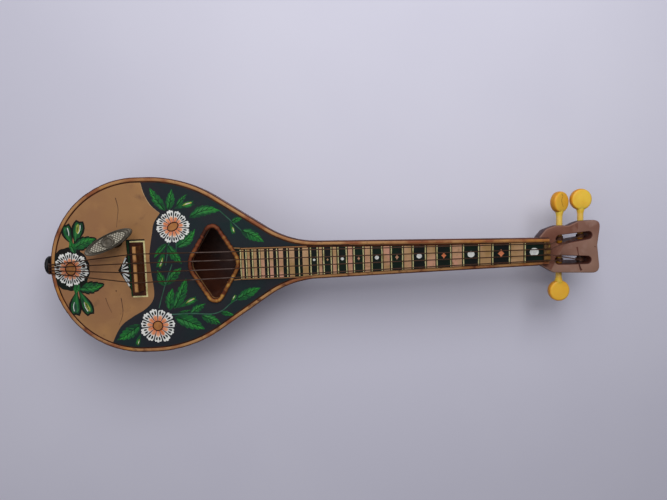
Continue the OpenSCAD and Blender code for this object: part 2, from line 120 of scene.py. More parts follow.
def material(name, base, layers=(), rough=(0.35, 0.5), grain=900.0, bump=0.00002, metal=0.0, glow=0.0,
             shine=0.25):
    """A surface whose screen colour is base, with layers mixed over it.

    A layer is (screen colour, source, low, high). Its source is a noise scale, or "tone" for the
    mesh's own tone. It is absent where the source is at low, and full where it is at high.
    """
    made = bpy.data.materials.new(name)
    made.use_nodes = True
    nodes, links = made.node_tree.nodes, made.node_tree.links
    shader = nodes["Principled BSDF"]
    place = nodes.new("ShaderNodeTexCoord").outputs["Object"]

    def noise_of(scale, detail=4.0):
        tex = nodes.new("ShaderNodeTexNoise")
        tex.inputs["Scale"].default_value = scale
        tex.inputs["Detail"].default_value = detail
        links.new(place, tex.inputs["Vector"])
        return tex.outputs["Fac"]

    def spread(source, low, high, to_low=0.0, to_high=1.0):
        step = nodes.new("ShaderNodeMapRange")
        links.new(source, step.inputs["Value"])
        for key, value in (("From Min", low), ("From Max", high), ("To Min", to_low), ("To Max", to_high)):
            step.inputs[key].default_value = value
        return step.outputs["Result"]

    last = None
    for over, source, low, high in layers:
        if source == "tone":
            attribute = nodes.new("ShaderNodeAttribute")
            attribute.attribute_name = "tone"
            value = attribute.outputs["Fac"]
        else:
            value = noise_of(source)
        mix = nodes.new("ShaderNodeMix")
        mix.data_type = "RGBA"
        links.new(spread(value, low, high), mix.inputs["Factor"])
        if last is None:
            mix.inputs["A"].default_value = colour(*base)
        else:
            links.new(last, mix.inputs["A"])
        mix.inputs["B"].default_value = colour(*over)
        last = mix.outputs["Result"]
    if last is None:
        shader.inputs["Base Color"].default_value = colour(*base)
    else:
        links.new(last, shader.inputs["Base Color"])
    grain_noise = noise_of(grain, 3.0)
    links.new(spread(grain_noise, 0.3, 0.7, *rough), shader.inputs["Roughness"])
    dent = nodes.new("ShaderNodeBump")
    dent.inputs["Strength"].default_value = 1.0
    dent.inputs["Distance"].default_value = bump
    links.new(grain_noise, dent.inputs["Height"])
    links.new(dent.outputs["Normal"], shader.inputs["Normal"])
    shader.inputs["Metallic"].default_value = metal
    shader.inputs["Specular IOR Level"].default_value = shine
    if glow:
        shader.inputs["Subsurface Weight"].default_value = glow
        shader.inputs["Subsurface Radius"].default_value = (1.0, 0.6, 0.2)
        shader.inputs["Subsurface Scale"].default_value = 0.002
    return made


TAN = material("tan_print", (157, 114, 70), [
    ((148, 104, 68), 28.0, 0.42, 0.6), ((170, 124, 76), 75.0, 0.5, 0.72),
    ((128, 90, 60), 260.0, 0.62, 0.8)], rough=(0.42, 0.58))
TAN_EDGE = material("pale_line", (180, 146, 104), [((150, 112, 78), 600.0, 0.45, 0.65)])
NIGHT = material("dark_print", (32, 36, 42), [
    ((24, 40, 42), 60.0, 0.42, 0.6), ((44, 36, 42), 38.0, 0.5, 0.7),
    ((58, 58, 60), 500.0, 0.7, 0.88)], rough=(0.45, 0.6), shine=0.12)
BLACK = material("black_print", (24, 22, 20), [((16, 28, 20), 120.0, 0.45, 0.65)], rough=(0.45, 0.6),
                 shine=0.1)
LINE = material("brown_line", (70, 32, 12), [((38, 18, 8), 300.0, 0.4, 0.65)], shine=0.1)
CRACK = material("crack", (96, 60, 38), [((66, 38, 24), 500.0, 0.4, 0.6)])
LEAF = material("leaf_green", (24, 84, 42), [
    ((28, 110, 44), "tone", 0.2, 0.9), ((22, 60, 40), 420.0, 0.44, 0.62)], shine=0.12)
LEAF_LIGHT = material("leaf_bright", (52, 122, 62), [
    ((32, 104, 48), 600.0, 0.42, 0.62), ((48, 146, 50), "tone", 0.4, 1.0)], shine=0.12)
LEAF_DARK = material("leaf_vein", (12, 48, 22), [((18, 64, 30), 700.0, 0.45, 0.65)], shine=0.1)
STEM = material("stem_green", (58, 98, 80), [((36, 78, 56), 300.0, 0.4, 0.62)], shine=0.12)
BUD = material("bud_yellow", (164, 168, 76), [((104, 124, 48), 500.0, 0.45, 0.65)], shine=0.12)
WHITE = material("white_print", (222, 224, 218), [
    ((176, 178, 182), 700.0, 0.46, 0.66), ((232, 231, 224), "tone", 0.6, 1.0)], shine=0.15)
CORAL = material("coral_print", (222, 132, 92), [
    ((236, 184, 144), "tone", 0.4, 0.66), ((206, 112, 66), 600.0, 0.45, 0.66)], shine=0.15)
OCHRE = material("ochre_print", (176, 116, 64), [((152, 96, 50), 500.0, 0.42, 0.66)], shine=0.15)
CREAM = material("cream_print", (214, 204, 148), [((164, 152, 92), 420.0, 0.48, 0.7)], shine=0.2)
MAROON = material("maroon_print", (76, 34, 14), [((46, 20, 12), 220.0, 0.4, 0.64)], shine=0.12)
BLOCK_TAN = material("block_tan", (190, 150, 112), [
    ((166, 130, 84), 110.0, 0.42, 0.6), ((204, 148, 124), 90.0, 0.52, 0.64),
    ((150, 116, 76), 500.0, 0.6, 0.76)], shine=0.2)
BLOCK_NIGHT = material("block_dark", (24, 26, 26), [((20, 36, 26), 90.0, 0.45, 0.62)], shine=0.1)
UNDER = material("raw_plastic", (92, 56, 38), [((74, 42, 30), 160.0, 0.4, 0.66)])
BAND = material("worn_edging", (174, 126, 78), [
    ((180, 122, 52), 60.0, 0.52, 0.62), ((140, 80, 46), 110.0, 0.48, 0.62),
    ((84, 42, 24), 330.0, 0.6, 0.74)], rough=(0.4, 0.6))
# Bead colours follow the tone: darker at its foot and on its -X and +Y side as painted shade, golden on its
# crest and its +X and -Y side as a painted highlight, over the rope's own uneven colour.
BEAD = material("golden_bead_painted_light", (142, 90, 42), [
    ((110, 54, 32), "tone", 0.52, 0.32), ((46, 20, 10), "tone", 0.26, 0.1),
    ((178, 132, 66), "tone", 0.66, 0.86), ((92, 44, 24), 260.0, 0.52, 0.66)], rough=(0.45, 0.6),
    shine=0.15)
SHELL = material("shell_plastic", (78, 38, 28), [
    ((104, 56, 36), 45.0, 0.45, 0.66), ((62, 30, 22), 160.0, 0.52, 0.72)], rough=(0.34, 0.48))
HEAD = material("head_plastic", (140, 106, 90), [
    ((128, 90, 76), 50.0, 0.45, 0.62), ((150, 118, 104), 200.0, 0.56, 0.74)], rough=(0.4, 0.55))
# Painted shade: a darker, redder copy of the headstock plastic for the top next to the neck, where its
# shoulder slopes away from the light.
HEAD_SHOULDER_SHADE = material("head_plastic_shoulder_shade", (126, 84, 68), [
    ((104, 62, 48), 70.0, 0.42, 0.62), ((138, 100, 84), 200.0, 0.56, 0.74)], rough=(0.4, 0.55))
# Painted shade: a darker, purple-brown copy of the headstock plastic for its sides, its underside and the
# block under the nut.
HEAD_SHADED_SIDE = material("head_side_painted_shade", (70, 44, 48), [((54, 32, 34), 90.0, 0.42, 0.64)], rough=(0.45, 0.6))
# Painted shade: a darker, redder copy of the headstock plastic for the slot walls; it also draws the cracks
# and a notch on the top.
SLOT = material("slot_shade_and_cracks", (96, 54, 44), [((70, 38, 30), 140.0, 0.42, 0.64)], rough=(0.4, 0.55))
# Amber colours follow the tone: painted shade on the shaft in the slot and on the grip's rim, a paler painted
# highlight on the shaft out of the headstock; the darkest tone also draws peg 1's moulding line.
AMBER = material("amber_plastic", (240, 200, 74), [
    ((226, 172, 50), 90.0, 0.44, 0.66), ((228, 160, 44), "tone", 0.5, 0.62),
    ((238, 200, 120), "tone", 0.4, 0.2), ((132, 80, 26), "tone", 0.76, 1.0)],
    rough=(0.3, 0.42), grain=400.0, bump=0.000008, glow=0.35)
STUB = material("stub_plastic", (52, 34, 30), [((96, 70, 34), 500.0, 0.5, 0.7)])
NUT = material("nut_plastic", (112, 78, 34), [
    ((74, 44, 20), 240.0, 0.45, 0.6), ((152, 128, 66), 700.0, 0.56, 0.72)])
# Painted light: dark brown where the tone is low, on the bridge's faces in shade, and tan where it is high,
# along its lit top.
BRIDGE = material("bridge_painted_light", (76, 36, 18), [
    ((176, 126, 74), "tone", 0.35, 0.8), ((112, 62, 32), 300.0, 0.54, 0.72)])
BUTTON = material("button_plastic", (22, 22, 24), [((40, 38, 40), 300.0, 0.5, 0.72)], rough=(0.35, 0.5))
# String colours follow the tone: a painted highlight over the sound hole, against the dark hole, and a paler
# brown over the headstock and on the windings.
WIRE = material("string_wire", (66, 40, 24), [
    ((150, 136, 134), "tone", 0.05, 0.5), ((104, 70, 56), "tone", -0.2, -1.0),
    ((58, 40, 28), 260.0, 0.5, 0.7)], rough=(0.35, 0.5), metal=0.35, bump=0.000005)
# Key colours follow the tone: the raised rims, boss and lattice are lighter than the hollows, skirt and
# collar, partly oxide in the old metal's hollows and partly a painted highlight on the raised metal.
KEY = material("key_metal", (98, 92, 82), [
    ((150, 144, 130), "tone", 0.35, 0.75), ((226, 220, 200), "tone", 0.8, 1.0),
    ((84, 76, 64), 500.0, 0.52, 0.72)], rough=(0.45, 0.6), metal=0.5)
STEEL = material("bright_steel", (168, 168, 170), [((132, 132, 134), 240.0, 0.45, 0.66)],
                 rough=(0.22, 0.4), metal=1.0)
BRASS = material("brass", (188, 150, 84), [((150, 112, 58), 200.0, 0.45, 0.66)],
                 rough=(0.24, 0.4), metal=1.0)
CAST = material("cast_metal", (118, 116, 112), [((92, 90, 86), 320.0, 0.42, 0.64)],
                rough=(0.5, 0.66), metal=0.7, bump=0.00004)

# ---------------------------------------------------------------- mesh helpers


def new_mesh(name, points, faces, mats, index=None, tones=None, domain="POINT"):
    """A mesh from points in millimetres; tones has a value for each point, or for each face's corner."""
    mesh = bpy.data.meshes.new(name)
    mesh.from_pydata([at(*p) for p in points], [], faces)
    for mat in mats:
        mesh.materials.append(mat)
    if index:
        mesh.polygons.foreach_set("material_index", index)
    if tones:
        mesh.attributes.new("tone", "FLOAT", domain).data.foreach_set("value", tones)
    return mesh


def placed(name, mesh, body, nodes):
    """An object of the mesh, which rides on its body and replaces its CAD nodes."""
    made = bpy.data.objects.new(name, mesh)
    bpy.context.scene.collection.objects.link(made)
    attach(made, body)
    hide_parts(*nodes)


def piece(name, points, faces, mats, body, slot, nodes, tones=None, index=None, sharp=38.0):
    """A mesh piece of the object, smooth but for edges sharper than the angle."""
    mesh = new_mesh(name, points, faces, mats, index, tones)
    build = bmesh.new()
    build.from_mesh(mesh)
    bmesh.ops.remove_doubles(build, verts=build.verts, dist=1e-6)
    bmesh.ops.dissolve_degenerate(build, edges=build.edges, dist=1e-7)
    bmesh.ops.recalc_face_normals(build, faces=build.faces)
    build.to_mesh(mesh)
    build.free()
    mesh.polygons.foreach_set("use_smooth", [True] * len(mesh.polygons))
    mesh.set_sharp_from_angle(angle=math.radians(sharp))
    placed(name, mesh, body, nodes)


def loft(rings, closed_rings=True, closed_ends=False, caps=True):
    """Points and faces of a skin over rings with the same number of points."""
    n = len(rings[0])
    points = [p for ring in rings for p in ring]
    faces = []
    count = len(rings)
    for r in range(count if closed_ends else count - 1):
        here, there = r * n, (r + 1) % count * n
        for c in range(n if closed_rings else n - 1):
            d = (c + 1) % n
            faces.append((here + c, there + c, there + d, here + d))
    if caps and not closed_ends:
        faces.append(tuple(range(n)))
        faces.append(tuple(range((count - 1) * n, count * n))[::-1])
    return points, faces


def tube(path, r, sides=8):
    """A round tube along a path, as points and faces."""
    path = [Vector(p) for p in path]
    rings = []
    last = len(path) - 1
    up = Vector((0, 0, 1))
    for k, p in enumerate(path):
        ahead = (path[min(last, k + 1)] - path[max(0, k - 1)]).normalized()
        across = ahead.cross(up)
        across = across.normalized() if across.length > 1e-4 else Vector((1, 0, 0))
        over = across.cross(ahead).normalized()
        rings.append([tuple(p + r * (math.cos(a) * across + math.sin(a) * over))
                      for a in (2 * math.pi * s / sides for s in range(sides))])
    return loft(rings)


def lathe(profile, steps=40):
    """Points and faces of a turned shape about Z; its (radius, height) pairs start and end on the axis."""
    rings = []
    for k in range(steps):
        a = 2 * math.pi * k / steps
        rings.append([(r * math.cos(a), r * math.sin(a), h) for r, h in profile])
    return loft(rings, closed_rings=False, closed_ends=True, caps=False)


def moved(shape, matrix):
    points, faces = shape
    return [tuple(matrix @ Vector(p)) for p in points], faces


def joined(*shapes):
    points, faces = [], []
    for more_points, more_faces in shapes:
        start = len(points)
        points += more_points
        faces += [tuple(start + k for k in f) for f in more_faces]
    return points, faces


def box(lo, hi):
    corners = [(x, y, z) for z in (lo[2], hi[2]) for y in (lo[1], hi[1]) for x in (lo[0], hi[0])]
    return corners, [(0, 2, 3, 1), (4, 5, 7, 6), (0, 1, 5, 4), (2, 6, 7, 3), (0, 4, 6, 2), (1, 3, 7, 5)]


# ---------------------------------------------------------------- plan outline


ARC_STEPS, STRAIGHT_STEPS, TAIL_STEPS, OUTLINE_STEPS = 20, 8, 48, 24


def mirrored(half, middle=()):
    """The half outline, the middle points and the half again on the other side of the axis."""
    return half + [*middle] + [(x, -y) for x, y in reversed(half)]


def side(inset):
    """The outline from the neck joint round to the tail, moved in by the inset."""
    points = []
    for k in range(ARC_STEPS + 1):
        a = TAPER + (SHOULDER - TAPER) * k / ARC_STEPS
        points.append((HOLLOW[0] - (HOLLOW_R + inset) * math.sin(a),
                       HOLLOW[1] - (HOLLOW_R + inset) * math.cos(a)))
    start = points[-1]
    end = (FRONT_X + (FRONT_R - inset) * math.sin(SHOULDER),
           TAIL_R - FRONT_R + (FRONT_R - inset) * math.cos(SHOULDER))
    points += [tuple(start[i] + (end[i] - start[i]) * k / STRAIGHT_STEPS for i in (0, 1))
               for k in range(1, STRAIGHT_STEPS)]
    for k in range(ARC_STEPS + 1):
        a = math.pi / 2 - SHOULDER * (1 - k / ARC_STEPS)
        points.append((FRONT_X + (FRONT_R - inset) * math.cos(a),
                       TAIL_R - FRONT_R + (FRONT_R - inset) * math.sin(a)))
    for k in range(1, TAIL_STEPS + 1):
        a = math.pi / 2 * (1 + k / TAIL_STEPS)
        points.append((TAIL_R + (TAIL_R - inset) * math.cos(a), (TAIL_R - inset) * math.sin(a)))
    return points


def rim(inset):
    *half, tail = side(inset)
    return mirrored(half, [tail])


def neck_half(x):
    return NECK_HW - (x - NECK_X) * math.tan(TAPER)


def outline(inset, x_end, steps=OUTLINE_STEPS):
    """The whole plan of the body and the neck as far as x_end, moved in by the inset."""
    neck = [(x_end + (NECK_X - x_end) * k / steps) for k in range(steps)]
    return mirrored([(x, neck_half(x) - inset) for x in neck], rim(inset))


def soft_diamond(grow, steps=120):
    """The sound hole's outline, round two side circles and two tip circles, moved out by grow."""
    points = []
    for k in range(steps):
        a = 2 * math.pi * k / steps
        c, s = math.cos(a), math.sin(a)
        if LOBE_X * abs(c) + LOBE_R > TIP_Y * abs(s) + TIP_R:
            points.append((HOLE_X + math.copysign(LOBE_X, c) + (LOBE_R + grow) * c, (LOBE_R + grow) * s))
        else:
            points.append((HOLE_X + (TIP_R + grow) * c, math.copysign(TIP_Y, s) + (TIP_R + grow) * s))
    return points


def evenly(loop, count):
    """The same closed line as points at even distances, each with the normal that points out of it."""
    loop = [Vector(p) for p in loop]
    steps = [(q - p).length for p, q in zip(loop, loop[1:] + loop[:1])]
    whole = sum(steps)
    spots, k, passed = [], 0, 0.0
    for j in range(count):
        way = whole * j / count
        while passed + steps[k] < way:
            passed += steps[k]
            k += 1
        p, q = loop[k], loop[(k + 1) % len(loop)]
        spots.append(p.lerp(q, (way - passed) / steps[k]))
    made = []
    for j, p in enumerate(spots):
        ahead = (spots[(j + 1) % count] - spots[j - 1]).normalized()
        made.append((p, Vector((ahead.y, -ahead.x))))
    return made


def rounded(corners, r, steps=10):
    """A closed line with each corner, given counterclockwise, replaced by an arc."""
    made = []
    n = len(corners)
    for k in range(n):
        p, before, after = (Vector(corners[j % n]) for j in (k, k - 1, k + 1))
        a, b = (before - p).normalized(), (after - p).normalized()
        half = math.acos(max(-1.0, min(1.0, a.dot(b)))) / 2
        reach = min(r / math.tan(half), (before - p).length / 2.05, (after - p).length / 2.05)
        start, end = p + a * reach, p + b * reach
        for j in range(steps + 1):
            t = j / steps
            made.append(tuple(start * (1 - t) ** 2 + p * 2 * t * (1 - t) + end * t * t))
    return made


def circle(centre, r, steps=32, r2=None, turn=0.0):
    r2 = r if r2 is None else r2
    t = math.radians(turn)
    return [(centre[0] + r * math.cos(a) * math.cos(t) - r2 * math.sin(a) * math.sin(t),
             centre[1] + r * math.cos(a) * math.sin(t) + r2 * math.sin(a) * math.cos(t))
            for a in (2 * math.pi * k / steps for k in range(steps))]


def smooth_path(points, per=6):
    """A curve through the points, as more points."""
    ends = [points[0], *points, points[-1]]
    made = []
    for k in range(1, len(ends) - 2):
        p0, p1, p2, p3 = (Vector(p) for p in ends[k - 1:k + 3])
        for s in range(per):
            t = s / per
            made.append(tuple(0.5 * (2 * p1 + (p2 - p0) * t + (2 * p0 - 5 * p1 + 4 * p2 - p3) * t * t
                                     + (3 * p1 - p0 - 3 * p2 + p3) * t ** 3)))
    made.append(tuple(points[-1]))
    return made


# ---------------------------------------------------------------- printed plates


class Print:
    """Flat shapes laid over each other; the last one laid is the one that shows."""

    def __init__(self):
        self.shapes = []

    def lay(self, points, mat, tone=None):
        area = sum(p[0] * q[1] - q[0] * p[1] for p, q in zip(points, points[1:] + points[:1]))
        self.shapes.append((points if area > 0 else points[::-1], mat, tone))

    def stroke(self, points, w0, w1, mat, per=5):
        """A line of changing width through the points."""
        path = smooth_path(points, per)
        last = len(path) - 1
        left, right = [], []
        for k, p in enumerate(path):
            a, b = Vector(path[max(0, k - 1)]), Vector(path[min(last, k + 1)])
            ahead = (b - a).normalized()
            off = Vector((-ahead.y, ahead.x)) * (w0 + (w1 - w0) * k / last) / 2
            left.append(tuple(Vector(p) + off))
            right.append(tuple(Vector(p) - off))
        self.lay(left + right[::-1], mat, lambda x, y: 0.5)

    def leaf(self, base, tip, width, bend=0.0, teeth=5, ground=0.0, lit=1):
        """A toothed leaf with a midrib; ground is the width of the dark edge laid under it."""
        base, tip = Vector(base), Vector(tip)
        axis = tip - base
        length = axis.length
        ahead = axis / length
        off = Vector((-ahead.y, ahead.x))

        def spot(t, w):
            return tuple(base + axis * t + off * (bend * 4 * t * (1 - t) + w))

        def half(t):
            return width / 2 * math.sin(math.pi * min(1.0, t) ** 0.8) ** 0.85

        def edge(way, scale, extra=0.0):
            points = []
            for k in range(teeth):
                t0, t1 = (k + 0.1) / teeth, (k + 0.95) / teeth
                points.append(spot(t0, way * (half(t0) * 0.84 * scale + extra)))
                points.append(spot((t0 + t1) / 2, way * (half((t0 + t1) / 2) * scale + extra)))
                points.append(spot(t1 + 0.02, way * (half(t1) * 1.1 * scale + extra)))
            return points

        def along(x, y):
            return (Vector((x, y)) - base).dot(ahead) / length

        def blade(start, end, extra=0.0):
            return [spot(start, 0), *edge(1, 1.0, extra), spot(end, 0), *edge(-1, 1.0, extra)[::-1]]

        if ground:
            self.lay(blade(-0.04, 1.06, ground), BLACK)
        self.lay(blade(0, 1.0), LEAF, along)
        self.lay([spot(0.1, 0)] + edge(lit, 0.62)[1:-1] + [spot(0.93, 0)], LEAF_LIGHT, along)
        for k in range(2, teeth):
            for way in (1, -1):
                t = k / (teeth + 0.6)
                self.stroke([spot(t - 0.05, 0), spot(t + 0.1, way * half(t) * 0.72)], 0.3, 0.08,
                            LEAF_DARK if way == lit else LEAF_LIGHT, per=2)
        self.stroke([spot(0.03, 0), spot(0.5, 0), spot(0.92, 0)], 0.42, 0.1, LEAF_DARK, per=3)

    def bud(self, base, tip, width):
        """A closed bud: a green cup with a pale stripe and a notched end."""
        base, tip = Vector(base), Vector(tip)
        axis = tip - base
        ahead = axis.normalized()
        off = Vector((-ahead.y, ahead.x))

        def spot(t, w):
            return tuple(base + axis * t + off * w * width / 2)

        half = [(0.2, 0.34), (0.5, 0.86), (0.75, 0.98), (0.92, 0.66), (1.0, 0.74)]
        cup = [spot(t, w) for t, w in [(0, 0), *mirrored(half, [(0.93, 0)])]]
        self.lay(cup, LEAF, lambda x, y: 0.4)
        self.lay([spot(0.42, 0.1), spot(0.6, 0.6), spot(0.86, 0.5), spot(0.9, 0.1), spot(0.7, 0)], BUD)
        self.lay([spot(0.45, -0.2), spot(0.66, -0.56), spot(0.84, -0.46), spot(0.8, -0.16)], LEAF_LIGHT,
                 lambda x, y: 0.8)
        self.lay([spot(0.55, 0.18), spot(0.66, 0.4), spot(0.8, 0.34), spot(0.78, 0.14)], WHITE,
                 lambda x, y: 0.5)

    def pod(self, base, tip, width, ground, patch, lean=0.0):
        """A blunt seed head on a dark ground, with a pale patch."""
        base, tip = Vector(base), Vector(tip)
        axis = tip - base
        off = Vector((-axis.y, axis.x)).normalized()

        def spot(t, w):
            return tuple(base + axis * t + off * (w * width / 2 + lean * t * (1 - t) * 4))

        def body(grow, end):
            half = [(0, 0.1), (0.22, 0.34), (0.42, 0.72), (0.62, 0.98), (0.8, 1.0), (0.94, 0.84), (end, 0.56)]
            return [spot(t, w * grow) for t, w in mirrored(half, [(end - 0.04, 0)])]

        self.lay(body(1 + 2 * ground / width, 1 + ground / axis.length), BLACK)
        self.lay(body(1.0, 1.0), LEAF, lambda x, y: 0.25)
        self.lay([spot(0.1, 0.05), spot(0.45, 0.5), spot(0.85, 0.72), spot(0.95, 0.3), spot(0.5, 0)],
                 LEAF_LIGHT, lambda x, y: 0.3)
        self.lay([spot(0.5, -0.1), spot(0.62, 0.42), spot(0.84, 0.5), spot(0.93, 0.2), spot(0.86, -0.2),
                  spot(0.64, -0.34)], patch, lambda x, y: 0.5)
        self.stroke([spot(0.52, -0.2), spot(0.7, -0.44), spot(0.9, -0.3)], 0.18, 0.3, WHITE, per=3)
        self.stroke([spot(0.6, 0.1), spot(0.88, 0.1)], 0.3, 0.2, LEAF_DARK, per=2)

    def daisy(self, centre, r, petals=11, spin=0.0, eye=(0.25, 0.25), eye_turn=0.0):
        """A flower of notched white petals with coral hearts round a ringed eye."""
        step = 2 * math.pi / petals

        def spot(share, place, k):
            a = math.radians(spin) + step * (k + place)
            return (centre[0] + r * share * math.cos(a), centre[1] + r * share * math.sin(a))

        def out(x, y):
            return math.hypot(x - centre[0], y - centre[1]) / r

        self.lay(circle(centre, r * 0.7, 40), MAROON)
        lobes = mirrored([(0.3, -0.42), (0.6, -0.4), (0.8, -0.42), (0.92, -0.4), (0.97, -0.28),
                          (0.935, -0.15), (1.0, -0.06)])
        for k in range(petals):
            size = 1.0 + 0.04 * math.sin(2.3 * k + spin)
            self.lay([spot(s * size, p, k) for s, p in lobes], WHITE, out)
            heart = mirrored([(0.22, -0.4), (0.5, -0.37), (0.62, -0.28), (0.58, -0.15)],
                             [(0.68 + 0.03 * math.sin(5 * k), 0.0)])
            self.lay([spot(s, p, k) for s, p in heart], CORAL, out)
            self.lay([spot(0.3, -0.03, k), spot(0.56, -0.012, k), spot(0.56, 0.012, k), spot(0.3, 0.03, k)],
                     OCHRE)
            for way in (1, -1):
                long = 0.86 + 0.02 * math.sin(3 * k + way)
                self.lay([spot(0.65, way * 0.1, k), spot(0.75, way * 0.06, k), spot(long, way * 0.1, k),
                          spot(long, way * 0.25, k), spot(0.77, way * 0.31, k), spot(0.66, way * 0.24, k)],
                         BLACK)
        self.lay(circle(centre, r * (eye[0] + 0.07), 36, r * (eye[1] + 0.07), eye_turn), MAROON)
        self.lay(circle(centre, r * eye[0], 32, r * eye[1], eye_turn), OCHRE)


def divided(edge, holes, print_, base, mats):
    """The plate inside the edge, split into the print's regions.

    Gives its points, its faces, a material number for each face and a tone for each corner.
    """
    shapes = [(edge, base, None), *[(h, base, None) for h in holes], *print_.shapes]
    corners, loops = [], []
    for points, _, _ in shapes:
        loops.append(list(range(len(corners), len(corners) + len(points))))
        corners += [Vector(p) for p in points]
    points, _, faces, _, _, owners = delaunay_2d_cdt(corners, [], loops, 1, 1e-5)
    hole_ids = set(range(1, 1 + len(holes)))
    index, tones, kept = [], [], []
    for face, owner in zip(faces, owners):
        if 0 not in owner or hole_ids & set(owner):
            continue
        _, mat, tone = shapes[max(owner)]
        if mat not in mats:
            mats.append(mat)
        kept.append(tuple(face))
        index.append(mats.index(mat))
        tones += [tone(*points[v]) if tone else 0.5 for v in face]
    return points, kept, index, tones


def plate(name, edge, holes, print_, base, top_z, thick, body, nodes):
    """A flat plate whose top is divided into the print's regions, each with its own material."""
    mats = [base, UNDER]
    points, kept, index, tones = divided(edge, holes, print_, base, mats)
    mesh = new_mesh(name, [(*p, top_z) for p in points], kept, mats, index, tones, "CORNER")
    build = bmesh.new()
    build.from_mesh(mesh)
    bmesh.ops.delete(build, geom=[v for v in build.verts if not v.link_faces], context="VERTS")
    grown = bmesh.ops.extrude_face_region(build, geom=list(build.faces), use_keep_orig=True)
    below = {g for g in grown["geom"] if isinstance(g, bmesh.types.BMVert)}
    for v in below:
        v.co.z -= thick / 1000
    for f in build.faces:
        if any(v in below for v in f.verts):
            f.material_index = 1 if all(v in below for v in f.verts) else 0
    bmesh.ops.recalc_face_normals(build, faces=build.faces)
    build.to_mesh(mesh)
    build.free()
    placed(name, mesh, body, nodes)


# ---------------------------------------------------------------- bowl and neck

RIBS = 5.5
RIB_DEPTH = 0.32
BOWL_STEPS = 44


def keel_depth(x):
    if x <= KEEL_FRONT:
        return BOWL_D
    return NECK_D + (BOWL_D - NECK_D) * ease((NECK_X - x) / (NECK_X - KEEL_FRONT))


def bowl_curve(edge, depth, floor_z, ribbed, steps=BOWL_STEPS):
    """The section from a rim point down to the keel."""
    keel_x = min(NECK_X, max(edge[0], KEEL_TAIL))
    centre = Vector((keel_x, 0, LEDGE_Z))
    points = []
    for k in range(steps + 1):
        a = math.pi / 2 * k / steps
        f = 0.0 if k == steps else math.cos(a) ** BOWL_POWER
        low = max(floor_z, LEDGE_Z - depth * math.sin(a) ** BOWL_POWER)
        p = Vector((keel_x + (edge[0] - keel_x) * f, edge[1] * f, low))
        if ribbed:
            t = RIBS * k / steps
            groove = RIB_DEPTH * (1 - abs(math.sin(math.pi * t))) ** 2 * ease(t * 1.6 - 0.4)
            groove *= ease((NECK_X - edge[0]) / 22)
            reach = (p - centre).length
            p = centre + (p - centre) * (1 - groove / reach)
        points.append(tuple(p))
    return points


def make_bowl():
    lips, outers, inners = rim(LIP_W), rim(0), rim(WALL)
    rings = []
    for lip, outer, inner in zip(lips, outers, inners):
        depth = keel_depth(min(NECK_X, outer[0]))
        broad, fine = rough_noise(*outer, 0.55), rough_noise(*outer, 1.7, 4)
        chip = max(0.0, broad) * 0.35 + max(0.0, fine) * 0.25
        worn = (lip[0] + (outer[0] - lip[0]) * (1 - chip), lip[1] + (outer[1] - lip[1]) * (1 - chip))
        outside = bowl_curve(outer, depth, 0.0, True)
        inside = bowl_curve(inner, depth - WALL, WALL, False)
        rings.append([(*lip, LIP_Z), (*worn, LIP_Z - 0.1 * chip), (*outer, LIP_Z - 0.25 - 0.8 * chip),
                      *outside, *inside[::-1], (*lip, LEDGE_Z)])
    keel = 3 + BOWL_STEPS
    n = len(rings[0])
    points, faces = loft(rings, caps=False)
    faces = [f for f in faces if not (f[0] % n == keel and f[3] % n == keel + 1)]
    last = (len(rings) - 1) * n
    faces.append(tuple(range(n)))
    faces.append(tuple(range(last, last + n))[::-1])
    piece("bowl", points, faces, [SHELL], "body", "shell_brown", ["back_shell"], sharp=50)


def make_neck():
    spans, arc_steps, thinning = 12, 60, 0.6
    rings = []
    for k in range(spans + 1):
        x = NECK_X + (NECK_END - NECK_X) * k / spans
        depth = NECK_D - thinning * k / spans
        hw = neck_half(x)
        ring = [(x, hw - LIP_W, LEDGE_Z), (x, hw - LIP_W, LIP_Z), (x, hw, LIP_Z)]
        for s in range(arc_steps + 1):
            a = math.pi * s / arc_steps
            c = math.cos(a)
            ring.append((x, hw * math.copysign(abs(c) ** BOWL_POWER, c),
                         LEDGE_Z - depth * math.sin(a) ** BOWL_POWER))
        ring += [(x, -hw, LIP_Z), (x, LIP_W - hw, LIP_Z), (x, LIP_W - hw, LEDGE_Z)]
        rings.append(ring)
    piece("neck_back", *loft(rings), [SHELL], "body", "shell_brown", ["neck"], sharp=50)


# ---------------------------------------------------------------- top, edging, bead


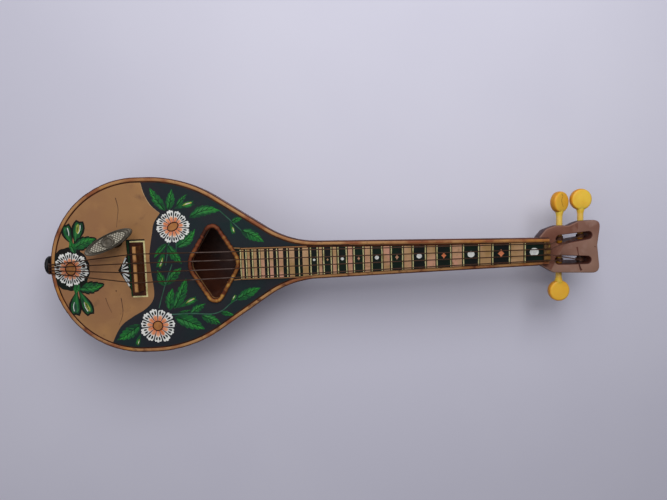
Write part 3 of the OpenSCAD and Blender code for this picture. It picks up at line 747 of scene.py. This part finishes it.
def make_top():
    art = Print()
    # Dark ground from the bridge to the neck, with a pale line along its edge.
    upper = smooth_path([(33.6, 33.5), (34.4, 30.1), (35.3, 26.5), (37.4, 22.4), (40.6, 19.3)])
    lower = smooth_path([(40.6, 19.3), (38.2, 15.8), (37.2, 11.4), (35.9, 4.2), (36.1, -2), (36.8, -9.4),
                         (36, -13.2), (33, -16.3), (28.4, -18.9), (23.8, -22.4), (20.3, -28.8), (19.6, -32)])
    edge = upper + lower[1:]
    art.lay([(x - 0.3, y) for x, y in upper] + [(60, 20), (60, 40)], TAN_EDGE)
    art.lay(edge + [(110, -40), (110, 40)], NIGHT)
    # Brown line just inside the edging.
    inner, outer = outline(FIELD_IN + 0.5, NUT_X), outline(FIELD_IN - 0.3, NUT_X)
    for k in range(OUTLINE_STEPS, len(inner) - OUTLINE_STEPS - 1):
        art.lay([inner[k], inner[k + 1], outer[k + 1], outer[k]], LINE)
    # Hairline cracks in the tan part.
    for path in ([(25, 25.4), (25.7, 21.6), (25.3, 18.5), (24.7, 14.6)],
                 [(19, -11.4), (19.7, -14), (20.9, -17.1)],
                 [(24.6, -11.6), (24.9, -17.3), (23.2, -21.8)]):
        art.stroke(path, 0.3, 0.12, CRACK)
    art.lay(circle((23, -8.9), 0.3, 12), CRACK)
    # Upper group of leaves.
    art.leaf((42.6, 20.2), (37.4, 28.6), 3.3, 0.3)
    art.leaf((43.7, 20.4), (45.3, 27.8), 3.1, -0.2)
    art.leaf((46.8, 21.6), (50.9, 26), 1.7, 0.2, 4)
    art.bud((45.6, 20.8), (53.3, 22.8), 2.3)
    art.leaf((51.2, 17.4), (62.6, 19.6), 3.8, 1.3, 6)
    art.stroke([(62.4, 19.5), (65.6, 16.4), (70.2, 11.8)], 0.4, 0.3, STEM)
    art.leaf((66.6, 15.2), (70.3, 16.4), 2, 0.3, 4)
    art.bud((66, 15.6), (67.2, 10.8), 1.7)
    art.leaf((69.9, 12), (78, 7.5), 3.8, 0.3, 6)
    art.leaf((45.8, 6.6), (53, 13), 3.6, -0.8, 6, lit=-1)
    # Middle group, under the strings.
    art.stroke([(43.3, 8.6), (42.6, 5), (41.6, 0)], 0.4, 0.3, STEM)
    art.stroke([(45.9, 8.2), (45.7, 4)], 0.35, 0.2, STEM)
    art.leaf((42.4, 8), (37.6, 3), 1.9, -0.3, 4)
    art.bud((41.8, 6), (38.8, -1), 2.5)
    art.leaf((42.7, 7.4), (47.4, 0.4), 3.5, -0.3)
    art.leaf((41.2, -7.8), (38.5, -1.8), 2.9, 0.3, lit=-1)
    art.leaf((41.6, -7.2), (47.2, -1.2), 3.5, 0.3)
    art.stroke([(43.9, 0.2), (42.2, -4), (40.6, -8.4), (38.2, -16)], 0.4, 0.3, STEM)
    # Lower group.
    art.leaf((42.2, -17), (43.6, -8.8), 3.4, 0.4)
    art.leaf((43.8, -16.4), (48.8, -5.1), 3.8, -0.4, 6)
    art.bud((45, -16.2), (52.4, -12.8), 2.4)
    art.leaf((45.4, -18), (50.2, -17.2), 1.1, 0, 3)
    art.leaf((49.6, -18.8), (55.5, -15), 2.8, 0.2)
    art.leaf((43.8, -19.6), (54.6, -24.6), 4.9, 0.4, 6, lit=-1)
    art.leaf((53.8, -19.6), (60.8, -23), 3.3, 0.2)
    art.stroke([(42.6, -18.6), (50, -18.5), (57.5, -19), (61.6, -17.8), (64.6, -15.4), (67.4, -13.8)], 0.45,
               0.3, STEM)
    art.bud((64.7, -15.6), (66.9, -12), 1.4)
    art.leaf((60.9, -18.6), (65.6, -19.7), 1.9, 0.1, 4)
    art.leaf((67.2, -13.9), (76, -9.8), 3.6, 0.2, 6)
    art.leaf((30.8, -22), (22.3, -27.4), 4.3, 0.3, 6)
    art.bud((30.8, -25.4), (29.2, -30), 1.7)
    art.daisy((45, 14.2), 6.0, 12, 8, (0.32, 0.2), 30)
    art.daisy((37.4, -22.7), 6.5, 11, 6, (0.24, 0.24))
    # Flower at the tail on its scalloped black ground.
    ground = []
    for k in range(96):
        a = 2 * math.pi * k / 96
        r = 7.1 + 0.28 * abs(math.sin(7 * a))
        ground.append((6.9 + r * 0.98 * math.cos(a), -0.2 + r * 1.1 * math.sin(a)))
    art.pod((8.7, 8.4), (6.7, 15.6), 2.6, 0.75, STEM, 0.5)
    art.pod((9.3, 8.4), (11.5, 16.8), 3.2, 0.75, BUD)
    art.pod((8.9, -8), (7.8, -16.9), 3.1, 0.75, STEM, -0.4)
    art.pod((9.6, -8), (13.0, -16.9), 3.0, 0.75, BUD)
    art.leaf((8.6, 7.2), (16.8, 10.6), 3.6, 0.4, 5, ground=0.6)
    art.leaf((9.2, -7.2), (18.4, -6.4), 3.6, -0.5, 5, ground=0.6, lit=-1)
    art.lay(ground, BLACK)
    art.leaf((9.2, 5.4), (7.6, 10.4), 2.4, 0, 3)
    art.leaf((9.4, -5.4), (8.2, -9.6), 2.4, 0, 3)
    art.daisy((7.2, -0.2), 6.3, 13, 12, (0.26, 0.32))
    # Black ground between the sound hole and the board.
    art.lay([(62, 6.5), (FINGER_X + 1, 5.6), (FINGER_X + 1, -6.4), (62, -7)], BLACK)
    art.stroke([(63, 6.3), (66.5, 5.6), (FINGER_X + 1, 5.35)], 0.32, 0.32, TAN, per=3)
    art.stroke([(63, -7.2), (66, -6.5), (FINGER_X + 1, -6.25)], 0.32, 0.32, TAN, per=3)
    # Frame round the bridge and the fan of rays in front of it.
    art.lay([(24.2, -1.3), (27.8, 4.4), (27.6, 10), (34.5, 10), (34.5, -11.6), (28.9, -11.6), (28.4, -8.6)],
            BLACK)
    art.lay([(29, 9.4), (34.5, 9.4), (34.5, -11.6), (29, -11.6)], CREAM)
    art.lay([(29, 8.9), (33.9, 8.9), (33.9, -11.1), (29, -11.1)], MAROON)
    art.lay([(27.95, 9.3), (28.5, 9.3), (29, -11.2), (28.5, -11.2)], LEAF_DARK)
    art.lay([(34.5, 10), (35, 10), (35.2, -11.9), (34.5, -11.6)], TAN)
    for y, x in ((3.3, 27.5), (1.6, 27.9), (-0.1, 28.1), (-1.8, 28.2), (-3.5, 28.3), (-5.4, 28.2),
                 (-7.2, 28.2)):
        start = (25.3 + 0.1 * abs(y + 1.4), -1.35 + 0.32 * (y + 1.4))
        art.stroke([start, (x - 0.2, y)], 0.22, 0.62, WHITE, per=2)
    edge = outline(FIELD_IN, NUT_X)
    key_hole = circle(KEY_AT, KEY_HOLE_R, 32)
    plate("printed_top", edge, [soft_diamond(0), key_hole], art, TAN, TOP_Z, TOP_Z - LEDGE_Z, "body",
          ["soundboard"])


def make_edging():
    profile = [(LIP_W, LEDGE_Z), (LIP_W, TOP_Z - 0.08), (LIP_W + 0.1, TOP_Z + 0.07),
               (LIP_W + 0.28, TOP_Z + 0.13), (FIELD_IN - 0.26, TOP_Z + 0.13), (FIELD_IN - 0.08, TOP_Z + 0.08),
               (FIELD_IN, TOP_Z - 0.04), (FIELD_IN, LEDGE_Z)]
    lines = [outline(inset, BOARD_END, 48) for inset, _ in profile]
    rings = []
    for k in range(len(lines[0])):
        ring = []
        for (inset, z), line in zip(profile, lines):
            x, y = line[k]
            wave = 0.07 * rough_noise(x, y, 0.5, 7) + 0.05 * rough_noise(x, y, 1.8, 3)
            if z > TOP_Z:
                z = min(TOP_Z + 0.15, z + wave * 0.6 - 0.03)
            ring.append((x, y, z))
        rings.append(ring)
    piece("edging", *loft(rings), [BAND], "body", "edge_tan", ["binding"], sharp=60)


def make_bead():
    """The raised bead round the sound hole, a little uneven in width and height."""
    count, turns, arc_steps = 420, 34, 12
    rings, tones = [], []
    for k, (p, out) in enumerate(evenly(soft_diamond(BEAD_W / 2, 360), count)):
        lump = rough_noise(p.x, p.y, 0.45, 3)
        twist = math.sin(2 * math.pi * turns * k / count + 2 * lump)
        knob = rough_noise(p.x, p.y, 1.3, 21)
        half = BEAD_W / 2 * (0.9 + 0.02 * twist + 0.08 * lump + 0.08 * knob)
        lean = 0.1 * rough_noise(p.x, p.y, 0.5, 8) + 0.08 * rough_noise(p.x, p.y, 1.4, 5)
        high = BEAD_H * (0.9 + 0.02 * twist + 0.02 * lump + 0.09 * knob)
        # Painted light: the tone rises towards +X and -Y, the side the light falls on; the lump term adds the
        # rope's own uneven colour.
        lit = 0.56 + 0.022 * (p.x - HOLE_X) - 0.02 * p.y + 0.3 * lump
        ring = []
        for j in range(arc_steps + 1):
            a = math.pi * j / arc_steps
            side_step = lean - half * math.cos(a)
            rise = math.sin(a) ** 0.75
            ring.append((*(p + out * side_step), TOP_Z + high * rise))
            # Painted shade at the foot, where the bead meets the top, and a painted highlight along its
            # crest; twist and knob add the rope's own unevenness.
            tones.append(lit * (0.12 + 0.88 * rise ** 1.9) + 0.03 * twist + 0.12 * knob)
        rings.append(ring)
    points, faces = loft(rings, closed_ends=True)
    piece("hole_bead", points, faces, [BEAD], "body", "bead_gold", ["sound_hole_ring"], tones=tones,
          sharp=70)


# ---------------------------------------------------------------- fingerboard


FINGER_HW = NECK_HW - FIELD_IN - 0.1


def finger_half(x):
    """Half the board's width on the +Y side."""
    return min(FINGER_HW, FINGER_HW - (x - NECK_X) * math.tan(TAPER))


def finger_low(x):
    """Half the board's width on the -Y side, where it is wider over the body."""
    if x > NECK_X:
        return finger_half(x)
    return min(FLARE_HW, FINGER_HW + (FLARE_HW - FINGER_HW) * (NECK_X - x) / FLARE_LEN)


# Fret gaps from the nut, long and short in turn, shrinking with each pair; then the gaps over the body.
FIRST_GAPS, GAP_RATIO, FRET_COUNT = (7.2, 6.1), 0.9, 21
BODY_FRET_X, BODY_GAP, BODY_RATIO, BODY_COUNT = 91, 4.4, 0.88, 8
# Length from the nut over which the bare margin on the +Y side grows.
MARGIN_LEN = 45

FRETS = [NUT_X]
for fret in range(FRET_COUNT):
    FRETS.append(FRETS[-1] - FIRST_GAPS[fret % 2] * GAP_RATIO ** (fret // 2))
BODY_FRETS = [BODY_FRET_X - BODY_GAP * (1 - BODY_RATIO ** k) / (1 - BODY_RATIO) for k in range(BODY_COUNT)]


def make_fingerboard():
    art = Print()

    def upper(x):
        """The +Y end of the printed blocks."""
        return finger_half(x) - 0.2 - 0.55 * ease((NUT_X - x) / MARGIN_LEN)

    def block(x0, x1, mat, low=0.05):
        art.lay([(x0, upper(x0)), (x1, upper(x1)), (x1, low - finger_low(x1)), (x0, low - finger_low(x0))],
                mat)

    art.lay([(FINGER_X, 8), (NUT_X, 8), (NUT_X, -8), (FINGER_X, -8)], LINE)
    for k in range(FRET_COUNT):
        right, left = FRETS[k], FRETS[k + 1]
        if k % 2 == 0:
            block(left, right, BLOCK_NIGHT)
            middle, share = (left + right) / 2, (right - left) / FIRST_GAPS[0]
            if k % 4 == 0:
                art.lay(circle((middle, 0.1), 1.75 * share ** 1.25, 24, 1.55 * share ** 1.25), WHITE,
                        lambda x, y: 0.8)
            else:
                w, h = 1.5 * share ** 1.3, 1.9 * share ** 1.3
                star = [(middle + s * w * math.cos(a), s * h * math.sin(a))
                        for a, s in ((math.pi * j / 4, 1 if j % 2 == 0 else 0.55) for j in range(8))]
                art.lay(star, CORAL if k < 8 else BLOCK_TAN, lambda x, y: 0.4)
        else:
            block(left, right, BLACK)
            block(left + 0.62, right - 0.66, BLOCK_TAN)
    for k, x in enumerate(BODY_FRETS):
        right = x
        left = BODY_FRETS[k + 1] if k < BODY_COUNT - 1 else x - 1.9
        block(left, right, BLACK)
        block(left + (0.75 if k < 3 else 0.4), right - 0.36 * (right - left) - 0.15, BLOCK_TAN, 0.45)
    block(BODY_FRETS[0], FRETS[-1], BLACK)
    block(BODY_FRETS[0] + 1.3, FRETS[-1] - 0.9, BLOCK_TAN, 0.3)
    art.stroke([(FINGER_X + 0.2, upper(80) + 0.5), (80, upper(80) + 0.45), (94, upper(94) + 0.45)], 0.34,
               0.3, TAN, per=2)
    art.stroke([(FINGER_X + 0.2, -6.2), (80, -6.2), (NECK_X - FLARE_LEN + 1, -6.2),
                (NECK_X, -FINGER_HW + 0.2)], 0.34, 0.3, TAN, per=2)
    edge = [(x, -finger_low(x)) for x in (FINGER_X, NECK_X - FLARE_LEN, NECK_X, NUT_X)]
    edge += [(x, finger_half(x)) for x in (NUT_X, NECK_X, FINGER_X)]
    plate("fingerboard", edge, [], art, BLACK, TOP_Z + FINGER_T, FINGER_T, "body",
          ["fretboard"])


def make_frets():
    shapes, spans = [], 8
    profile = [(-0.5, 0), (-0.46, 0.5), (-0.3, 0.86), (0, 1), (0.3, 0.86), (0.46, 0.5), (0.5, 0)]
    for k, x in enumerate([*FRETS[1:], *BODY_FRETS]):
        top = finger_half(x) - 0.25 - 0.5 * ease((NUT_X - x) / MARGIN_LEN)
        low = finger_low(x) - (0.1 if x > BODY_FRET_X else 0.5)
        rings = []
        for s in range(spans + 1):
            y = -low + (top + low) * s / spans
            lean = 0.08 * noise.noise(Vector((k * 1.7, y * 0.4, 1)))
            thin = 0.86 + 0.14 * noise.noise(Vector((k * 2.3, y * 0.6, 5)))
            rings.append([(x + lean + px * FRET_W * thin, y, TOP_Z + FINGER_T + pz * FRET_H * 0.9)
                          for px, pz in profile])
        shapes.append(loft(rings))
    piece("fret_ridges", *joined(*shapes), [CREAM], "body", "fret_cream", ["frets"], sharp=60)


# ---------------------------------------------------------------- nut, bridge, button, strings


def grooved_bar(x, half_low, half_top, y0, y1, z0, z1, grooves, steps=120):
    """A wedge along Y with a round groove for each string across its top."""
    rings = []
    for k in range(steps + 1):
        y = y0 + (y1 - y0) * k / steps
        dip = max([0.0] + [0.26 ** 2 - (y - g) ** 2 for g in grooves]) ** 0.5
        top = z1 - dip
        soft = 0.3 * (1 - min(1, min(k, steps - k) / steps * (y1 - y0) / 0.5)) ** 2
        worn = 0.05 * (1 + noise.noise(Vector((y * 1.3, z0, x))))
        side_x = half_top + (half_low - half_top) * 0.16
        rings.append([(x - half_low, y, z0), (x - side_x, y, top - 0.8), (x - half_top, y, top - 0.28 - soft),
                      (x - half_top * 0.6, y, top - soft - worn), (x + half_top * 0.6, y, top - soft - worn),
                      (x + half_top, y, top - 0.28 - soft), (x + side_x, y, top - 0.8),
                      (x + half_low, y, z0)])
    points, faces = loft(rings)
    # Painted light: tones run from 0 at the feet to 1 on the top, lower on the +X face than on the -X face;
    # only the bridge uses them.
    return points, faces, [0.0, 0.1, 0.75, 1.0, 1.0, 0.6, 0.05, 0.0] * (steps + 1)


def make_bars():
    points, faces, tones = grooved_bar(BRIDGE_X, 1.5, 0.65, -9, 7.6, TOP_Z, TOP_Z + BRIDGE_H, CREST_Y)
    piece("bridge_bar", points, faces, [BRIDGE], "body", "bridge_brown", ["bridge"], tones=tones, sharp=40)
    half = finger_half(NUT_X + 2.7) - 0.02
    points, faces, _ = grooved_bar(NUT_X + 1.35, 1.35, 1.25, -half, half, LEDGE_Z, NUT_Z, NUT_Y)
    piece("nut_bar", points, faces, [NUT], "body", "nut_amber", ["nut"], sharp=40)


def make_button():
    profile = [(0, -2.2), (1.5, -2.2), (1.5, 0.4), (2, 0.7), (1.9, 1.5), (3.2, 1.7), (3.42, 1.85),
               (3.5, 2.15), (3.42, 2.7), (3.1, 3.05), (2.5, 3.25), (1.2, 3.4), (0, 3.4)]
    turn = Matrix.Translation((0, 1, TOP_Z - 5)) @ Matrix.Rotation(-math.pi / 2, 4, "Y")
    piece("end_button", *moved(lathe(profile), turn), [BUTTON], "body", "button_black", ["tail_button"],
          sharp=50)


# Half the length over the sound hole where the strings are painted pale, a painted highlight against the dark
# hole, and their points from bridge to nut.
PALE_HALF = 8.6
STRING_STOPS = (49.5, 50.5, 51.5, 52.5, 55, 60, 65, 66.5, 67.5, 68.5, 69.5, 120)


def string_tone(x):
    """0 over the board and the body, more over the sound hole, where it paints a highlight, and -1 over the
    headstock.
    """
    if x > NUT_X + 2:
        return -1.0
    return 0.14 * ease((PALE_HALF - abs(x - HOLE_X)) / 1.5)


def make_strings():
    turns, per, pitch = 3.2, 20, 0.4
    lift = STRING_R + 0.02
    coil_r = SHAFT_R + STRING_R
    for k, (wound_x, wound_y) in enumerate(WOUND):
        path = [(-1.1, 1 + 0.5 * (1.5 - k), TOP_Z - 2.6), (-0.9, 1 + 0.75 * (1.4 - k), TOP_Z - 0.9),
                (-0.5, TAIL_Y[k], TOP_Z + 0.25), (0.1, TAIL_Y[k], TOP_Z + 0.42),
                (BRIDGE_X - 0.5, CREST_Y[k], TOP_Z + BRIDGE_H + lift - 0.04),
                (BRIDGE_X + 0.5, CREST_Y[k], TOP_Z + BRIDGE_H + lift)]
        start, end = Vector(path[-1]), Vector((NUT_X + 0.2, NUT_Y[k], NUT_Z + lift))
        for x in STRING_STOPS:
            path.append(tuple(start.lerp(end, (x - start.x) / (end.x - start.x))))
        path += [tuple(end), (NUT_X + 2.9, NUT_Y[k], NUT_Z + lift - 0.02),
                 (NUT_X + 3.4, NUT_Y[k] + (wound_y - NUT_Y[k]) * 0.08, NUT_Z - 0.25),
                 (wound_x - WOUND_R * 0.55, wound_y, SHAFT_Z + WOUND_R + 0.75)]
        points, faces = tube(path, STRING_R, 10)
        piece(f"string_{'abcd'[k]}", points, faces, [WIRE], "body", "string_steel", [f"string_{k + 1}"],
              tones=[string_tone(p[0]) for p in points])
        coil = []
        for s in range(int(turns * per) + 1):
            a = math.radians(115) - 2 * math.pi * s / per
            coil.append((wound_x + coil_r * math.cos(a), wound_y - 0.62 + s * pitch / per,
                         SHAFT_Z + coil_r * math.sin(a)))
        body = ("tuner_1", "tuner_2", "body", "tuner_3")[k]
        node = ("string_winding_1", "string_winding_2", "string_winding_4", "string_winding_3")[k]
        points, faces = tube(coil, STRING_R, 8)
        piece(f"turns_{'abcd'[k]}", points, faces, [WIRE], body, "string_steel", [node],
              tones=[-1.0] * len(points))


# ---------------------------------------------------------------- headstock and pegs

GRIP_R, SHAFT_SIDES, GRIP_SIDES = 4.2, 28, 56
# Each peg: x, y of the grip's centre, y of the shaft's inner end, tilt of the grip, CAD node and body.
PEGS = ((PEG_X[0], 18.7, 1.2, 25.0, "peg_1", "tuner_1"), (PEG_X[1], 19.5, 1.2, 0.0, "peg_2", "tuner_2"),
        (PEG_X[0], -16.5, -0.6, 0.0, "peg_3", "tuner_3"))

HEAD_TOP, HEAD_T, HEAD_ROUND = 23.4, 8.4, 3.0
HEAD_PLAN = [(184, 5.2), (187, 8.6), (190.6, 9.8), (196, 9.6), (199.5, 11.2), (208.9, 11.6), (207.6, 1.6),
             (208.9, -9.5), (190, -8.7), (184, -5.2)]
HEAD_END = 208.5
SLOT_R = (1.75, 1.4)
SLOTS = (((192.6, 4.2), (203.8, 5.6)), ((192.4, -3.7), (203.6, -4.1)))
SLOT_LIP, SLOT_FOOT = 0.28, -0.6


def slot_line(ends, grow, steps=14):
    """A slot's outline: an arc round each end, joined by straight sides, and all moved out by grow."""
    a, b = Vector(ends[0]), Vector(ends[1])
    lean = math.atan2((b - a).y, (b - a).x)
    turn = math.asin((SLOT_R[0] - SLOT_R[1]) / (b - a).length)
    points = []
    for centre, r, start, sweep in ((b, SLOT_R[1], lean - math.pi / 2 + turn, math.pi - 2 * turn),
                                    (a, SLOT_R[0], lean + math.pi / 2 - turn, math.pi + 2 * turn)):
        for k in range(steps + 1):
            t = start + sweep * k / steps
            points.append((centre.x + (r + grow) * math.cos(t), centre.y + (r + grow) * math.sin(t)))
    return points


def make_head():
    """The headstock: a block with soft edges, undercut sides and two through slots, cracked near the stub."""
    plan = evenly(rounded(HEAD_PLAN[::-1], HEAD_ROUND), 240)

    def ring(inset, z):
        return [(min(HEAD_END - 0.02, p.x - out.x * inset), p.y - out.y * inset, z) for p, out in plan]

    low_z = HEAD_TOP - HEAD_T
    rings = [ring(0.5, HEAD_TOP), ring(0.22, HEAD_TOP - 0.08), ring(0.05, HEAD_TOP - 0.3),
             ring(0, HEAD_TOP - 0.7), ring(0.05, HEAD_TOP - 2.5), ring(0.5, low_z + 3.5),
             ring(1.1, low_z + 1.2), ring(1.7, low_z + 0.2), ring(2, low_z)]
    art = Print()
    # Painted shade on the top next to the neck, for its sloping shoulder.
    art.lay([(180, 20), (199.3, 20), (199.6, 7.4), (194, 2), (188, -9.6), (180, -12)], HEAD_SHOULDER_SHADE)
    art.stroke([(199.3, 1.1), (199.6, -0.4), (200, -2.6)], 0.75, 0.25, SLOT)
    art.stroke([(200.2, -5.6), (200.7, -7.2), (201.2, -8.2)], 0.5, 0.9, SLOT)
    art.stroke([(206.2, 1), (206.9, 0.9)], 0.3, 0.3, SLOT, per=2)
    mats = [HEAD, HEAD_SHADED_SIDE, SLOT]
    grown = [slot_line(s, SLOT_LIP) for s in SLOTS]
    top, top_faces, index, _ = divided([p[:2] for p in rings[0]], grown, art, HEAD, mats)
    # Painted shade: the underside takes the darker copy.
    low, low_faces, low_index, _ = divided([p[:2] for p in rings[-1]],
                                           [slot_line(s, SLOT_FOOT) for s in SLOTS], Print(), HEAD_SHADED_SIDE,
                                           mats)
    shapes = [([(p[0], p[1], HEAD_TOP) for p in top], top_faces),
              ([(p[0], p[1], low_z) for p in low], low_faces)]
    index += low_index
    side_shape = loft(rings, caps=False)
    shapes.append(side_shape)
    # Painted shade: below the top two bands the sides take the darker copy, as does the block under the nut.
    index += [0 if k < 2 * len(plan) else 1 for k in range(len(side_shape[1]))]
    for s in SLOTS:
        wall = loft([[(*q, z) for q in slot_line(s, grow)] for grow, z in (
            (SLOT_LIP, HEAD_TOP), (0.08, HEAD_TOP - 0.1), (0, HEAD_TOP - 0.4), (-0.05, HEAD_TOP - 3),
            (-0.12, low_z + 2.3), (SLOT_FOOT, low_z))], caps=False)
        shapes.append(wall)
        # Painted shade on the slot walls.
        index += [2] * len(wall[1])
    rest = box((NECK_END, -neck_half(NECK_END), HEAD_TOP - 1),
               (BOARD_END + 0.4, neck_half(NECK_END), LEDGE_Z))
    rest = ([(x, y * neck_half(x) / neck_half(NECK_END), z) for x, y, z in rest[0]], rest[1])
    shapes.append(rest)
    index += [1] * len(rest[1])
    piece("head_block", *joined(*shapes), mats, "body", "shell_brown", ["headstock"], index=index,
          sharp=40)


def make_pegs():
    face = 1.42
    grip = [(0, -1.3), (GRIP_R - 1.0, -face), (GRIP_R - 0.45, -1.3), (GRIP_R - 0.12, -0.95), (GRIP_R, -0.45),
            (GRIP_R, 0.45), (GRIP_R - 0.12, 0.95), (GRIP_R - 0.45, 1.3), (GRIP_R - 1.0, face), (0, 1.3)]
    for x, y, far_y, tilt, node, body in PEGS:
        centre = abs(y - far_y)
        reach = centre - GRIP_R
        shaft = [(0, 0), (SHAFT_R - 0.15, 0), (SHAFT_R, 0.15), (SHAFT_R, 5.6), (SHAFT_R, 7.2),
                 (SHAFT_R, reach - 1.4), (SHAFT_R + 0.15, reach - 0.6), (SHAFT_R + 0.42, reach + 0.3),
                 (SHAFT_R + 0.3, reach + 1.2), (0, reach + 1.6)]
        place = Matrix.Translation((x, far_y, SHAFT_Z)) @ Matrix.Rotation(math.radians(tilt), 4, "Y")
        if y < 0:
            place = place @ Matrix.Rotation(math.pi, 4, "Z")
        stem = moved(lathe(shaft, SHAFT_SIDES), place @ Matrix.Rotation(-math.pi / 2, 4, "X"))
        disc = moved(lathe(grip, GRIP_SIDES), place @ Matrix.Translation((0, centre, 0)))
        # Painted light: the shaft is darker in the slot and paler out of the headstock, and the grip's rim is
        # darker; peg_2's face is set a little paler than the others.
        face_tone = 0.46 if node == "peg_2" else 0.56
        tones = [0.9 if h < 6 else 0.32 if h < reach - 1 else 0.5 for _, h in shaft] * SHAFT_SIDES
        tones += [face_tone if r < GRIP_R - 0.3 else 0.84 for r, _ in grip] * GRIP_SIDES
        shapes = [stem, disc]
        if node == "peg_1":
            line = smooth_path([(-0.5, 3.3), (0.25, 2.2), (-0.35, 0.9), (-0.1, -0.3), (0.5, -1.9)], 4)
            flaw = tube([(u, centre + v, face - 0.03 - 0.035 * (3.2 - abs(v))) for u, v in line], 0.09, 6)
            shapes.append(moved(flaw, place))
            tones += [1.0] * len(flaw[0])
        piece(f"tuner_{node[-1]}_peg", *joined(*shapes), [AMBER], body, "peg_amber", [node], tones=tones,
              sharp=50)


def make_stub():
    """The broken peg's shaft, snapped off unevenly just outside the headstock."""
    rings = []
    for k, y in enumerate((-0.8, -0.95, -4, -8.6, -9.3)):
        r = SHAFT_R - (0.15 if k == 0 else 0)
        ring = []
        for j in range(24):
            a = 2 * math.pi * j / 24
            c, s = math.cos(a), math.sin(a)
            snapped = -0.7 * abs(noise.noise(Vector((2 * c, 2 * s, 4)))) if k == 4 else 0
            ring.append((PEG_X[1] + r * c, y + snapped, SHAFT_Z + r * s))
        rings.append(ring)
    rings.append([(PEG_X[1] + (x - PEG_X[1]) * 0.45, -9.25, SHAFT_Z + (z - SHAFT_Z) * 0.45)
                  for x, _, z in rings[-1]])
    piece("broken_peg", *loft(rings), [STUB], "body", "stub_dark", ["peg_stub"], sharp=35)


def make_key():
    """The oval thumb piece: a raised double rim, two latticed fields and a round boss on a collar."""
    long_r, short_r, relief = 9.25, 2.7, 0.42
    shares = [0] + [0.04 + 0.94 * k / 40 for k in range(41)] + [0.993, 1.0]
    steps = 168

    def from_boss(u, v):
        """1 on the boss's edge, less inside it."""
        return math.hypot(u / 2.1, v / 1.75)

    def height(u, v, share):
        if share > 0.985:
            return KEY_T - 0.5
        rim_1 = math.exp(-((share - 0.93) / 0.035) ** 2)
        rim_2 = 0.8 * math.exp(-((share - 0.8) / 0.03) ** 2)
        boss = from_boss(u, v)
        ring = 0.7 * math.exp(-((boss - 0.85) / 0.16) ** 2) + 0.5 * math.exp(-(boss / 0.35) ** 2)
        lobe = 1.0 if share < 0.74 and boss > 1.12 else 0.0
        lattice = lobe * (0.35 + 0.65 * abs(math.sin(3.1 * u + 2.6 * v) * math.sin(3.1 * u - 2.6 * v)) ** 0.6)
        return KEY_T - relief + relief * min(1.0, max(rim_1, rim_2, ring, lattice))

    rings, tones = [], []
    for share in shares:
        ring = []
        for k in range(steps):
            a = 2 * math.pi * k / steps
            u, v = share * long_r * math.cos(a), share * short_r * math.sin(a)
            z = height(u, v, share)
            ring.append((u, v, z))
            # Raised metal gets a higher tone: oxide in the hollows and a painted highlight on the relief,
            # brightest on the lattice.
            level = (z - KEY_T + relief) / relief
            tones.append(max(0, level) * (1.0 if share < 0.74 and from_boss(u, v) > 1.12 else 0.68))
        rings.append(ring)
    rings.append([(0.985 * p[0], 0.97 * p[1], 0.12) for p in rings[-1]])
    rings.append([(0.96 * p[0], 0.92 * p[1], 0.0) for p in rings[-2]])
    tones += [0.2] * (2 * steps)
    collar = [(2.3, 0.0), (2.3, -4.8), (2.0, -5.2), (1.5, -5.2)]
    for r, z in collar:
        angles = (2 * math.pi * k / steps for k in range(steps))
        rings.append([(r * math.cos(a), r * math.sin(a), z) for a in angles])
    tones += [0.3] * (steps * len(collar))
    place = Matrix.Translation((*KEY_AT, KEY_Z)) @ Matrix.Rotation(math.radians(KEY_TURN), 4, "Z")
    piece("thumb_key", *moved(loft(rings), place), [KEY], "winder", "key_metal", ["winding_key"],
          tones=tones, sharp=80)


# ---------------------------------------------------------------- build

make_bowl()
make_neck()
make_top()
make_edging()
make_bead()
make_fingerboard()
make_frets()
make_bars()
make_button()
make_strings()
make_pegs()
make_stub()
make_key()
make_head()

# CAD nodes that are kept as they are, with the material that each gets.
CARRIED = (
    (STEEL, ("winding_arbor", "mainspring", "cylinder_arbor", "governor", "comb", "comb_screws",
             "movement_screws")),
    (BRASS, ("great_wheel", "spring_barrel", "music_cylinder", "drive_pinion", "cylinder_wheel",
             "front_bracket", "rear_bracket")),
    (CAST, ("bedplate", "comb_block")),
    (SHELL, ("movement_posts",)),
)
for mat, names in CARRIED:
    for node in names:
        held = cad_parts[node].data.materials
        held.clear()
        held.append(mat)

# ---------------------------------------------------------------- stage, light, camera

scene = bpy.context.scene
scene.view_settings.view_transform = "Standard"

floor_mesh = bpy.data.meshes.new("floor")
floor_mesh.from_pydata([(-3, -3, 0), (3, -3, 0), (3, 3, 0), (-3, 3, 0)], [], [(0, 1, 2, 3)])
floor_mesh.materials.append(material("pale_paper", (216, 214, 227), [((211, 209, 223), 6.0, 0.4, 0.6)],
                                     rough=(0.8, 0.95), bump=0.0))
floor = bpy.data.objects.new("floor", floor_mesh)
scene.collection.objects.link(floor)

world = bpy.data.worlds.new("soft_room")
world.use_nodes = True
world.node_tree.nodes["Background"].inputs["Color"].default_value = colour(214, 214, 228)
world.node_tree.nodes["Background"].inputs["Strength"].default_value = 0.19
scene.world = world


def lamp(name, place, target, size, power, tint=(1, 1, 1)):
    data = bpy.data.lights.new(name, "AREA")
    data.size = size
    data.energy = power
    data.color = tint
    made = bpy.data.objects.new(name, data)
    made.location = place
    made.rotation_euler = (Vector(target) - Vector(place)).to_track_quat("-Z", "Y").to_euler()
    scene.collection.objects.link(made)


lamp("window", place=(0.04, 0.22, 0.3), target=(0.02, 0.05, 0), size=0.28, power=1.02,
     tint=(0.98, 0.99, 1.0))
lamp("fill", place=(-0.3, -0.05, 0.6), target=(-0.05, 0, 0), size=0.6, power=0.9)

view_data = bpy.data.cameras.new("camera")
view_data.sensor_width = 36
view_data.lens = 28.6
view_data.clip_start = 0.01
camera = bpy.data.objects.new("camera", view_data)
camera.location = at(93.99, 22.52, 224)
camera.rotation_euler = tuple(math.radians(a) for a in (-5.39, -3.06, -1.72))
scene.collection.objects.link(camera)
scene.camera = camera
